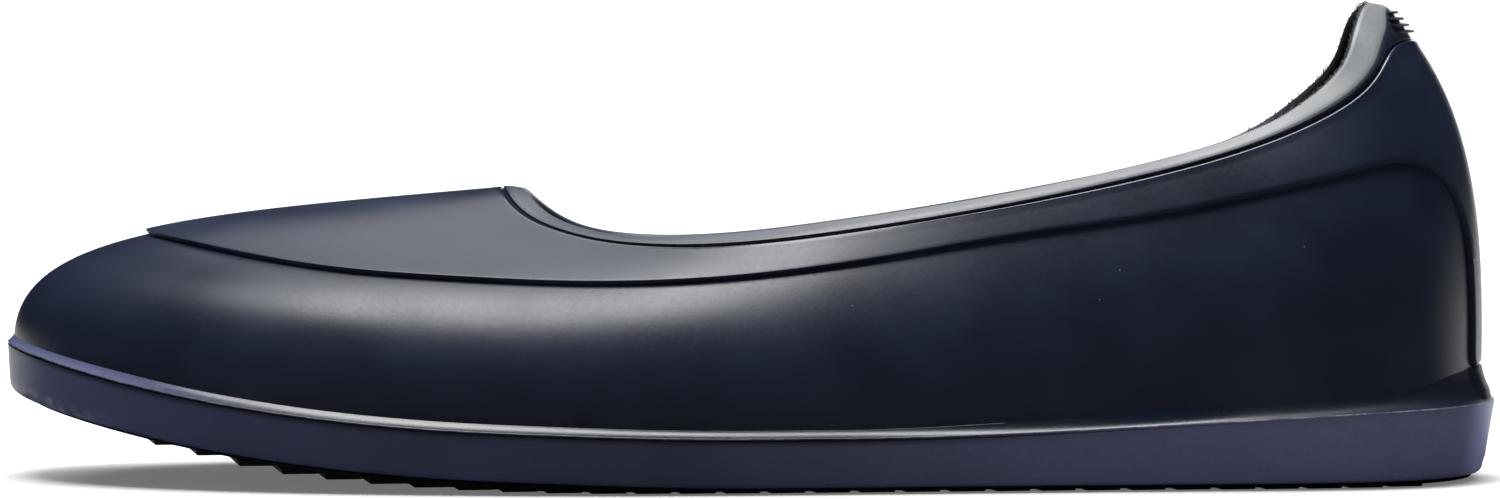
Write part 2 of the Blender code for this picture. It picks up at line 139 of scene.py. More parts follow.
def ramp(value: Array, low: float, high: float) -> Array:
    """Smooth step from 0 at low to 1 at high."""
    share = np.clip((np.asarray(value) - low) / (high - low), 0.0, 1.0)
    return share * share * (3.0 - 2.0 * share)


def closed_curve(keys: Array, rows: Array, period: float) -> Callable[[Array], Array]:
    """Draw a smooth closed curve through rows of values.

    Args:
        keys: place of each row along the curve.
        rows: the values that the curve passes through.
        period: length of the whole loop.

    Returns:
        A function that gives the rows at any places.
    """
    count = len(keys)
    gaps = np.diff(np.append(keys, keys[0] + period))
    slopes = (np.roll(rows, -1, axis=0) - rows) / gaps[:, None]
    system = np.zeros((count, count))
    for i in range(count):
        system[i, i - 1] += gaps[i - 1]
        system[i, i] += 2.0 * (gaps[i - 1] + gaps[i])
        system[i, (i + 1) % count] += gaps[i]
    bends = np.linalg.solve(system, 6.0 * (slopes - np.roll(slopes, 1, axis=0)))

    def curve(place: Array) -> Array:
        """Values at places along the loop.

        Args:
            place: places along the loop.

        Returns:
            One row of values for each place.
        """
        place = np.mod(place, period)
        i = np.clip(np.searchsorted(keys, place, side="right") - 1, 0, count - 1)
        j = (i + 1) % count
        gap = gaps[i][:, None]
        after = (place - keys[i])[:, None] / gap
        before = 1.0 - after
        bend = (before ** 3 - before) * bends[i] + (after ** 3 - after) * bends[j]
        return before * rows[i] + after * rows[j] + bend * gap * gap / 6.0

    return curve


@dataclass
class Last:
    """The form that every piece follows: a closed outline and the curves that climb from it.

    A place is a distance along the outline from the toe tip, round the lateral side first,
    and a height of 0 to 1 is a place on the climb from the feather line to the collar.
    """

    length: float
    ball_width: float
    heel_height: float = 0.0985
    toe_spring: float = 0.016
    spring_end: float = 0.45
    spring_power: float = 2.5
    tread_depth: float = 0.0022
    band_toe: float = 0.0102
    band_middle: float = 0.0094
    band_heel: float = 0.0145
    band_skirt: float = 0.0009
    ledge_toe: float = 0.0013
    ledge_side: float = 0.0021
    ledge_heel: float = 0.0041
    foot_toe: float = 0.0013
    foot_side: float = 0.0016
    foot_rear: float = 0.0028
    foot_heel: float = 0.0070
    shelf: float = 0.0032
    binding_width: float = 0.0104
    rows: Callable[[Array], Array] = field(init=False)
    around: float = field(init=False)
    heel: float = field(init=False)
    middle: Array = field(init=False)

    def __post_init__(self) -> None:
        """Join the stations into one loop and find its middle."""
        lateral = [(s.share, s.lateral, s.rim, s.rim_lateral, s.lateral_height, *s[8:]) for s in STATIONS]
        medial = [(s.share, s.medial, s.rim, s.rim_medial, s.medial_height, *s[8:]) for s in STATIONS]
        table = np.array(lateral + medial[-2:0:-1])
        corners = table[:, :2] * (self.length, self.ball_width)
        chords = np.linalg.norm(np.roll(corners, -1, axis=0) - corners, axis=1)
        keys = np.concatenate(([0.0], np.cumsum(chords)[:-1]))
        self.around = float(chords.sum())
        self.heel = float(keys[len(STATIONS) - 1])
        self.rows = closed_curve(keys, table, self.around)
        loop = self.outline(np.linspace(0.0, self.around, 2000))
        self.middle = (loop.max(axis=0) + loop.min(axis=0)) / 2.0

    @classmethod
    def from_frame(cls) -> "Last":
        """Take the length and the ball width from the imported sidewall.

        Returns:
            The last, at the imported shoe's size.
        """
        low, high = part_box("sidewall")
        trial = cls(length=high[0] - low[0], ball_width=1.0)
        loop = trial.outline(np.linspace(0.0, trial.around, 2000))
        return cls(length=high[0] - low[0], ball_width=(high[1] - low[1]) / float(np.ptp(loop[:, 1])))

    def value(self, place: Array, row: Row) -> Array:
        """One of the table's columns at places along the loop."""
        return self.rows(place)[:, row.value]

    def outline(self, place: Array) -> Array:
        """Outer top edge of the sidewall band, from the toe tip."""
        return self.rows(place)[:, :2] * (self.length, self.ball_width)

    def outward(self, place: Array) -> Array:
        """Level unit vectors that point out of the shoe.

        Args:
            place: places along the outline loop, in metres.

        Returns:
            One level unit vector for each place.
        """
        step = 1e-5
        along = self.outline(place + step) - self.outline(place - step)
        along /= np.linalg.norm(along, axis=1)[:, None]
        return np.column_stack((along[:, 1], -along[:, 0]))

    def in_frame(self, points: Array) -> Array:
        """Move points from the toe tip's place to the part's own origin."""
        return points - np.array((self.middle[0], self.middle[1], 0.0))

    def spring(self, share: Array) -> Array:
        """Height of the sole's underside over the floor."""
        return self.toe_spring * np.clip(1.0 - share / self.spring_end, 0.0, 1.0) ** self.spring_power

    def band_under(self, share: Array) -> Array:
        """Lower edge of the sidewall band."""
        return self.tread_depth + self.spring(share)

    def band_foot(self, share: Array) -> Array:
        """The band's outer lower edge, which hangs lower where the sole is flat."""
        return self.band_under(share) - self.band_skirt * ramp(share, 0.34, 0.50)

    def band_top(self, share: Array) -> Array:
        """Upper edge of the sidewall band, the feather line.

        Args:
            share: places along the shoe, as shares of its length from the toe.

        Returns:
            Levels over the floor.
        """
        forward = (self.band_middle - self.band_toe) * ramp(share, 0.34, 0.50)
        back = (self.band_heel - self.band_middle) * ramp(share, 0.56, 1.04)
        return self.band_under(share) + self.band_toe + forward + back

    def shelf_level(self, share: Array) -> Array:
        """Level at which the upper and the footbed are seated."""
        return self.band_under(share) + self.shelf

    def ledge(self, share: Array) -> Array:
        """Width of the step from the band's outer face to the upper.

        Args:
            share: places along the shoe, as shares of its length from the toe.

        Returns:
            Widths, in metres.
        """
        at_toe = 1.0 - ramp(share, 0.0, 0.08)
        at_heel = ramp(share, 0.85, 1.0)
        side = self.ledge_side
        return side + (self.ledge_toe - side) * at_toe + (self.ledge_heel - side) * at_heel

    def foot_height(self, share: Array) -> Array:
        """Height of the hollow fillet that runs from the band up the upper.

        Args:
            share: places along the shoe, as shares of its length from the toe.

        Returns:
            Heights over the band's top edge, in metres.
        """
        at_toe = 1.0 - ramp(share, 0.0, 0.10)
        at_heel = ramp(share, 0.92, 1.0)
        side = self.foot_side + (self.foot_rear - self.foot_side) * ramp(share, 0.55, 0.80)
        return side + (self.foot_toe - side) * at_toe + (self.foot_heel - side) * at_heel

    def surface(self, place: Array, height: Array) -> Array:
        """Outer face of the upper's wall.

        Args:
            place: places along the loop.
            height: a height of 0 to 1 for each place.

        Returns:
            A point for each place.
        """
        row = self.rows(place)
        out = self.outward(place)
        foot = self.outline(place) - out * self.ledge(row[:, 0])[:, None]
        rim = row[:, 2:4] * (self.length, self.ball_width)
        low = self.band_top(row[:, 0])
        high = row[:, 4] * self.heel_height
        rise = high - low
        lift, swell, reach, drop = row[:, 5], row[:, 6] * self.ball_width, row[:, 7], row[:, 8]
        start = np.column_stack((foot, low))
        climb = np.column_stack((foot + out * swell[:, None], low + lift * rise))
        turn = np.column_stack((rim + (foot - rim) * reach[:, None], high - drop * rise))
        end = np.column_stack((rim, high))
        after = np.broadcast_to(height, place.shape)[:, None]
        before = 1.0 - after
        return (before ** 3 * start + 3.0 * before * before * after * climb
                + 3.0 * before * after * after * turn + after ** 3 * end)

    def directions(self, place: Array, height: Array) -> tuple[Array, Array]:
        """Unit vectors up the climb and out of the wall, at points of the surface.

        Args:
            place: places along the outline loop, in metres.
            height: heights of 0 to 1 on the climb.

        Returns:
            The vectors up the climb and those out of the wall.
        """
        step = 1e-4
        around = self.surface(place + step, height) - self.surface(place - step, height)
        up = self.surface(place, height + step) - self.surface(place, height - step)
        out = np.cross(around, up)
        up /= np.linalg.norm(up, axis=1)[:, None]
        out /= np.linalg.norm(out, axis=1)[:, None]
        return up, out

    def skin(self, place: Array, height: Array, offset: Array | float) -> Array:
        """Points of the wall's outer face, moved out of the wall.

        Args:
            place: places along the loop.
            height: a height of 0 to 1 for each place.
            offset: distance out of the wall, one for all or one for each place.

        Returns:
            A point for each place.
        """
        height = np.broadcast_to(height, place.shape)
        offset = np.broadcast_to(offset, place.shape)[:, None]
        return self.surface(place, height) + self.directions(place, height)[1] * offset

    def below_rim(self, place: Array, distance: Array) -> Array:
        """Height of 0 to 1 at a distance below the rim, measured on the surface.

        Args:
            place: places along the outline loop, in metres.
            distance: distances below the rim, in metres.

        Returns:
            Heights of 0 to 1 on the climb.
        """
        steps = np.linspace(1.0, 0.4, 61)
        track = np.array([self.surface(place, np.full(place.shape, step)) for step in steps])
        run = np.cumsum(np.linalg.norm(np.diff(track, axis=0), axis=2), axis=0)
        run = np.vstack((np.zeros(len(place)), run))
        distance = np.broadcast_to(distance, place.shape)
        return np.array([np.interp(d, run[:, i], steps) for i, d in enumerate(distance)])

    def in_section(self, place: Array, inset: Array | float, level: Callable[[Array], Array],
                   above: Array | float = 0.0) -> Array:
        """Points of the band and sole.

        Args:
            place: places along the loop.
            inset: level distance in from the outline.
            level: one of the sole's levels, as a function of the share of the length.
            above: height above that level.

        Returns:
            A point for each place.
        """
        inset = np.broadcast_to(inset, place.shape)[:, None]
        points = self.outline(place) - self.outward(place) * inset
        return np.column_stack((points, level(points[:, 0] / self.length) + above))

    def place_of_share(self, share: Array, side: Side) -> Array:
        """Places on one side of the loop, at shares of the length.

        Args:
            share: places along the shoe, as shares of its length from the toe.
            side: the side of the shoe.

        Returns:
            Places along the outline loop.
        """
        start = 0.0 if side is Side.LATERAL else self.around
        places = np.linspace(start, self.heel, 4001)
        return np.interp(share, self.rows(places)[:, 0], places)

    def loop(self, side_columns: int) -> Array:
        """Even places round the whole loop, the same number on each side.

        Args:
            side_columns: how many places each side has.

        Returns:
            Places along the outline loop.
        """
        lateral = np.linspace(0.0, self.heel, side_columns, endpoint=False)
        medial = np.linspace(self.heel, self.around, side_columns, endpoint=False)
        return np.concatenate((lateral, medial))

    def binding(self, place: Array) -> Array:
        """Width of the collar binding."""
        return self.value(place, Row.BINDING) * self.binding_width


class Nodes:
    """A node tree, with one short way to add a node and set or join its inputs."""

    def __init__(self, tree: bpy.types.NodeTree) -> None:
        """Keep the tree that the nodes go into."""
        self.tree = tree

    def add(self, kind: str, inputs: Mapping[str | int, object] | None = None,
            **settings: object) -> bpy.types.Node:
        """Add one node.

        Args:
            kind: Blender's name for the type of node.
            inputs: values or output sockets, by the input's name or number.
            settings: the node's own options.

        Returns:
            The new node.
        """
        node = self.tree.nodes.new(kind)
        for name, value in settings.items():
            setattr(node, name, value)
        for key, value in (inputs or {}).items():
            if isinstance(value, bpy.types.NodeSocket):
                self.tree.links.new(value, node.inputs[key])
            else:
                node.inputs[key].default_value = value
        return node

    def math(self, operation: str, first: object, second: object = 0.0) -> bpy.types.NodeSocket:
        """Result of one sum on two values."""
        return self.add("ShaderNodeMath", {0: first, 1: second}, operation=operation).outputs[0]

    def mapped(self, value: object, low: float, high: float, to_low: float,
               to_high: float) -> bpy.types.NodeSocket:
        """A value moved from one range to another and kept inside it."""
        limits = {"Value": value, "From Min": low, "From Max": high, "To Min": to_low, "To Max": to_high}
        return self.add("ShaderNodeMapRange", limits).outputs["Result"]

    def noise(self, place: object, size: float, detail: float = 2.0,
              distortion: float = 0.0) -> bpy.types.NodeSocket:
        """Cloudy noise whose lumps have a size in metres."""
        inputs = {"Vector": place, "Scale": 1.0 / size, "Detail": detail, "Distortion": distortion}
        return self.add("ShaderNodeTexNoise", inputs).outputs["Fac"]

    def blend(self, factor: object, first: object, second: object) -> bpy.types.NodeSocket:
        """Mix of two colours.

        Args:
            factor: share of the second colour.
            first: the first colour.
            second: the second colour.

        Returns:
            The mixed colour's socket.
        """
        node = self.add("ShaderNodeMix", data_type="RGBA")
        for key, value in ((0, factor), (6, first), (7, second)):
            if isinstance(value, bpy.types.NodeSocket):
                self.tree.links.new(value, node.inputs[key])
            else:
                node.inputs[key].default_value = value
        return node.outputs[2]


def new_finish(name: str) -> tuple[bpy.types.Material, Nodes, bpy.types.Node]:
    """Start a material.

    Args:
        name: the material's name.

    Returns:
        The material, its nodes and its surface shader.
    """
    material = bpy.data.materials.new(name)
    material.use_nodes = True
    return material, Nodes(material.node_tree), material.node_tree.nodes["Principled BSDF"]


def rgba(colour: Colour) -> tuple[float, float, float, float]:
    """A colour with full cover."""
    return (*colour, 1.0)


@dataclass(frozen=True)
class Rubber:
    """Moulded rubber with a fine grain, cloudy gloss, dust, worn edges and a pale film that in places is a
    painted highlight.

    Attributes:
        name: the material's name.
        colour: base colour.
        roughness: mean roughness of the surface.
        specular: strength of the plain reflection.
        grain: height of the finest bumps.
        ripple: height of the wider bumps that break up a highlight.
        dust: share of the dust's cells that hold a speck.
        wear: how pale the worn edges get.
        polish: how much smoother the piece is where its polish value is 1.
        bloom_and_highlight: share of the pale film that covers the piece where its bloom_and_highlight value
            is 1; on some pieces it is a painted highlight.
        film_and_highlight: colour of that film, which in places stands for a painted highlight.
        second: base colour where the piece's blend value is 1, if it has one.
    """

    name: str
    colour: Colour = (0.0058, 0.0086, 0.0185)
    roughness: float = 0.36
    specular: float = 0.27
    grain: float = 0.000004
    ripple: float = 0.000011
    dust: float = 0.10
    wear: float = 0.0
    polish: float = 0.0
    bloom_and_highlight: float = 0.0
    film_and_highlight: Colour = (0.34, 0.36, 0.35)
    second: Colour | None = None

    def material(self) -> bpy.types.Material:
        """Make the material from noise on the object's own coordinates.

        Returns:
            The material.
        """
        material, nodes, shader = new_finish(self.name)
        place = nodes.add("ShaderNodeTexCoord").outputs["Object"]
        cloud = nodes.noise(place, 0.022, 3.0)
        worms = nodes.noise(place, 0.0008, 2.0, 0.8)
        grain = nodes.noise(place, 0.00030, 1.0)
        pale = tuple(value * 1.45 for value in self.colour)
        tone = nodes.blend(nodes.mapped(cloud, 0.35, 0.65, 0.0, 1.0), rgba(self.colour), rgba(pale))
        if self.second:
            other = nodes.add("ShaderNodeAttribute", attribute_name="blend").outputs["Fac"]
            tone = nodes.blend(other, tone, rgba(self.second))
        tone = nodes.blend(self.specks(nodes, place), tone, rgba((0.16, 0.17, 0.19)))
        # Pale film mixed into the colour by the piece's value: a painted highlight on the collar's top face,
        # at the band's heel end and on its ledge near the toe, and a pale film elsewhere.
        if self.bloom_and_highlight > 0.0:
            film_and_highlight = nodes.add("ShaderNodeAttribute", attribute_name="bloom_and_highlight").outputs["Fac"]
            uneven = nodes.mapped(worms, 0.3, 0.7, 0.88 * self.bloom_and_highlight, 1.12 * self.bloom_and_highlight)
            film_and_highlight = nodes.math("MULTIPLY", film_and_highlight, uneven)
            tone = nodes.blend(film_and_highlight, tone, rgba(self.film_and_highlight))
        if self.wear > 0.0:
            tone = nodes.blend(self.scuffs(nodes, place), tone, rgba((0.30, 0.33, 0.40)))
        shader.inputs["Specular IOR Level"].default_value = self.specular
        rough = nodes.math("ADD", nodes.mapped(cloud, 0.3, 0.7, -0.035, 0.035), self.roughness)
        rough = nodes.math("ADD", nodes.mapped(worms, 0.3, 0.7, -0.03, 0.03), rough)
        if self.polish > 0.0:
            polished = nodes.add("ShaderNodeAttribute", attribute_name="polish").outputs["Fac"]
            rough = nodes.math("SUBTRACT", rough, nodes.math("MULTIPLY", polished, self.polish))
        fine = nodes.add("ShaderNodeBump", {"Height": grain, "Distance": self.grain, "Strength": 1.0})
        broad = nodes.add("ShaderNodeBump", {"Height": worms, "Distance": self.ripple, "Strength": 1.0,
                                             "Normal": fine.outputs["Normal"]})
        for name, socket in (("Base Color", tone), ("Roughness", rough), ("Normal", broad.outputs["Normal"])):
            nodes.tree.links.new(socket, shader.inputs[name])
        return material

    def specks(self, nodes: Nodes, place: object) -> bpy.types.NodeSocket:
        """Mask of small dust specks, few and far between.

        Args:
            nodes: the material's nodes.
            place: the point that the pattern is read at.

        Returns:
            The mask's socket.
        """
        cells = nodes.add("ShaderNodeTexVoronoi", {"Vector": place, "Scale": 1.0 / 0.0042})
        dot = nodes.mapped(cells.outputs["Distance"], 0.045, 0.020, 0.0, 0.75)
        chance = nodes.add("ShaderNodeSeparateColor", {"Color": cells.outputs["Color"]}).outputs[0]
        return nodes.math("MULTIPLY", dot, nodes.math("GREATER_THAN", chance, 1.0 - self.dust))

    def scuffs(self, nodes: Nodes, place: object) -> bpy.types.NodeSocket:
        """Mask of pale broken scuffs where the piece's wear value is high.

        Args:
            nodes: the material's nodes.
            place: the point that the pattern is read at.

        Returns:
            The mask's socket.
        """
        worn = nodes.add("ShaderNodeAttribute", attribute_name="wear").outputs["Fac"]
        broken = nodes.mapped(nodes.noise(place, 0.0030, 6.0, 0.8), 0.44, 0.64, 0.0, self.wear)
        return nodes.math("MULTIPLY", broken, worn)


@dataclass(frozen=True)
class Cloth:
    """Napped dark knit, with loops that follow the piece's own map.

    Attributes:
        name: the material's name.
        colour: base colour.
        loop_size: width of one knitted loop.
        relief: height of the loops.
        sheen: strength of the pale nap.
    """

    name: str
    colour: Colour = (0.0045, 0.0045, 0.0050)
    loop_size: float = 0.0011
    relief: float = 0.00012
    sheen: float = 0.15

    def material(self) -> bpy.types.Material:
        """Make the material from two crossing waves and a nap, with painted shade in the loops' hollows.

        Returns:
            The material.
        """
        material, nodes, shader = new_finish(self.name)
        place = nodes.add("ShaderNodeUVMap", uv_map="cloth").outputs["UV"]
        waves = {"Vector": place, "Scale": 0.16 / self.loop_size, "Distortion": 0.6, "Detail Scale": 2.0}
        wales = nodes.add("ShaderNodeTexWave", waves, bands_direction="X").outputs["Fac"]
        courses = nodes.add("ShaderNodeTexWave", waves, bands_direction="Y").outputs["Fac"]
        loops = nodes.math("MULTIPLY", wales, courses)
        nap = nodes.noise(nodes.add("ShaderNodeTexCoord").outputs["Object"], 0.0004, 3.0)
        height = nodes.math("ADD", loops, nodes.math("MULTIPLY", nap, 0.5))
        # Painted shade: the colour is darker where the loops are low and paler on their tops, mixed with
        # random nap.
        pale = tuple(value * 3.0 for value in self.colour)
        tone = nodes.blend(height, rgba(self.colour), rgba(pale))
        bump = nodes.add("ShaderNodeBump", {"Height": height, "Distance": self.relief, "Strength": 1.0})
        shader.inputs["Roughness"].default_value = 0.92
        shader.inputs["Specular IOR Level"].default_value = 0.2
        shader.inputs["Sheen Weight"].default_value = self.sheen
        shader.inputs["Sheen Roughness"].default_value = 0.6
        nodes.tree.links.new(tone, shader.inputs["Base Color"])
        nodes.tree.links.new(bump.outputs["Normal"], shader.inputs["Normal"])
        return material


@dataclass(frozen=True)
class Fibre:
    """Loose grey threads at the lining's cut edge."""

    name: str = "lining_fibre"
    colour: Colour = (0.16, 0.165, 0.17)

    def material(self) -> bpy.types.Material:
        """Make a plain pale thread, a little uneven in tone.

        Returns:
            The material.
        """
        material, nodes, shader = new_finish(self.name)
        place = nodes.add("ShaderNodeTexCoord").outputs["Object"]
        dark = tuple(value * 0.25 for value in self.colour)
        tone = nodes.blend(nodes.noise(place, 0.002, 2.0), rgba(dark), rgba(self.colour))
        shader.inputs["Roughness"].default_value = 0.9
        nodes.tree.links.new(tone, shader.inputs["Base Color"])
        return material


@dataclass
class Weave:
    """Gathers vertices and faces of one mesh, row by row."""

    points: list[Array] = field(default_factory=list)
    faces: list[list[int]] = field(default_factory=list)
    total: int = 0

    def row(self, points: Array) -> list[int]:
        """Add points and return their numbers.

        Args:
            points: the row's points, in order.

        Returns:
            The numbers of the new vertices.
        """
        numbers = list(range(self.total, self.total + len(points)))
        self.points.append(np.asarray(points))
        self.total += len(points)
        return numbers

    def band(self, first: Sequence[int], second: Sequence[int], closed: bool = True) -> None:
        """Join two rows with four-sided faces.

        Args:
            first: numbers of the first row.
            second: numbers of the second row, as many as the first.
            closed: whether the last column joins the first one.
        """
        count = len(first)
        for j in range(count if closed else count - 1):
            k = (j + 1) % count
            corners = list(dict.fromkeys((first[j], first[k], second[k], second[j])))
            if len(corners) > 2:
                self.faces.append(corners)

    def make(self, name: str, material: bpy.types.Material) -> bpy.types.Object:
        """Turn what was gathered into an object with outward faces.

        Args:
            name: the object's name.
            material: its only material.

        Returns:
            The object, linked to the scene.
        """
        mesh = bpy.data.meshes.new(name)
        mesh.from_pydata(np.vstack(self.points).tolist(), [], self.faces)
        shell = bmesh.new()
        shell.from_mesh(mesh)
        bmesh.ops.recalc_face_normals(shell, faces=shell.faces)
        shell.to_mesh(mesh)
        shell.free()
        mesh.shade_smooth()
        mesh.materials.append(material)
        item = bpy.data.objects.new(name, mesh)
        bpy.context.scene.collection.objects.link(item)
        return item


def add_map(item: bpy.types.Object, across: Array, along: Array) -> None:
    """Give a piece the map that its cloth follows.

    Args:
        item: the piece.
        across: distance round the piece, for each vertex.
        along: distance up the piece, for each vertex.
    """
    layer = item.data.uv_layers.new(name="cloth")
    corners = np.empty(len(item.data.loops), dtype=np.int32)
    item.data.loops.foreach_get("vertex_index", corners)
    layer.data.foreach_set("uv", np.column_stack((across[corners], along[corners])).ravel())


def add_values(item: bpy.types.Object, name: str, values: Array) -> None:
    """Give a piece a value of 0 to 1 for each vertex, such as how worn or how polished it is."""
    attribute = item.data.attributes.new(name, "FLOAT", "POINT")
    attribute.data.foreach_set("value", values.astype(np.float32))


def ring(name: str, profile: Sequence[Array], material: bpy.types.Material, last: Last) -> bpy.types.Object:
    """A closed ring round the shoe.

    Args:
        name: the object's name.
        profile: rows of points round the shoe, in order round the ring's section.
        material: its material.
        last: the last, for the part's origin.

    Returns:
        The object.
    """
    weave = Weave()
    rows = [weave.row(last.in_frame(points)) for points in profile]
    for first, second in zip(rows, rows[1:] + rows[:1]):
        weave.band(first, second)
    return weave.make(name, material)


def hand_over(item: bpy.types.Object, slot: str, *nodes: str) -> None:
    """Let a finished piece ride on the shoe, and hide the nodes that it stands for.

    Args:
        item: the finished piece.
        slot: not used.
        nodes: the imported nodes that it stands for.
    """
    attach(item, BODY)
    if nodes:
        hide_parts(*nodes)
    log.info("%s: %d faces, stands for %s", item.name, len(item.data.polygons), ", ".join(nodes) or "none")


@dataclass
class Upper:
    """The moulded wall from the sole to the collar, with its knitted lining."""

    last: Last
    wall: float = 0.0022
    lining: float = 0.0007
    seam: float = 0.0001
    tuck: float = 0.0012
    side_columns: int = 300
    climb_rows: int = 56
    finish: Rubber = Rubber("rubber_navy")
    cloth: Cloth = Cloth("lining_knit")
    place: Array = field(init=False)

    def __post_init__(self) -> None:
        """Choose the columns."""
        self.place = self.last.loop(self.side_columns)

    def climb(self, top: Array) -> list[Array]:
        """Heights from the feather line to a top line, as rows."""
        return [top * share for share in np.linspace(0.0, 1.0, self.climb_rows)]

    def build_wall(self) -> bpy.types.Object:
        """The rubber wall, which ends inside the collar binding.

        Returns:
            The finished object.
        """
        last, place = self.last, self.place
        share = last.value(place, Row.SHARE)
        inset = last.ledge(share)
        top = last.below_rim(place, last.binding(place) - self.tuck)
        heights = self.climb(top)
        profile = [last.in_section(place, inset, last.shelf_level)]
        profile += [last.skin(place, height, 0.0) for height in heights]
        profile += [last.skin(place, height, -self.wall) for height in reversed(heights)]
        profile.append(last.in_section(place, inset + self.wall, last.shelf_level))
        return ring("upper_wall", profile, self.finish.material(), last)

    def build_lining(self) -> bpy.types.Object:
        """The knitted lining inside the wall, up to its cut edge under the collar.

        Returns:
            The finished object.
        """
        last, place = self.last, self.place
        share = last.value(place, Row.SHARE)
        near = self.wall + self.seam
        far = near + self.lining
        top = last.below_rim(place, np.full(place.shape, 0.0016))
        heights = self.climb(top)
        inset = last.ledge(share)
        profile = [last.in_section(place, inset + near, last.shelf_level, 0.0003)]
        profile += [last.skin(place, height, -near) for height in heights]
        profile += [last.skin(place, height, -far) for height in reversed(heights)]
        profile.append(last.in_section(place, inset + far, last.shelf_level, 0.0003))
        lining = ring("lining", profile, self.cloth.material(), last)
        count = len(profile)
        along = np.repeat(np.linspace(0.0, 0.16, count), len(place))
        add_map(lining, np.tile(place, count), along)
        return lining

    def build(self) -> None:
        """Make the wall and its lining, and hand them over."""
        hand_over(self.build_wall(), "rubber_navy", "upper")
        hand_over(self.build_lining(), "cloth_footbed")


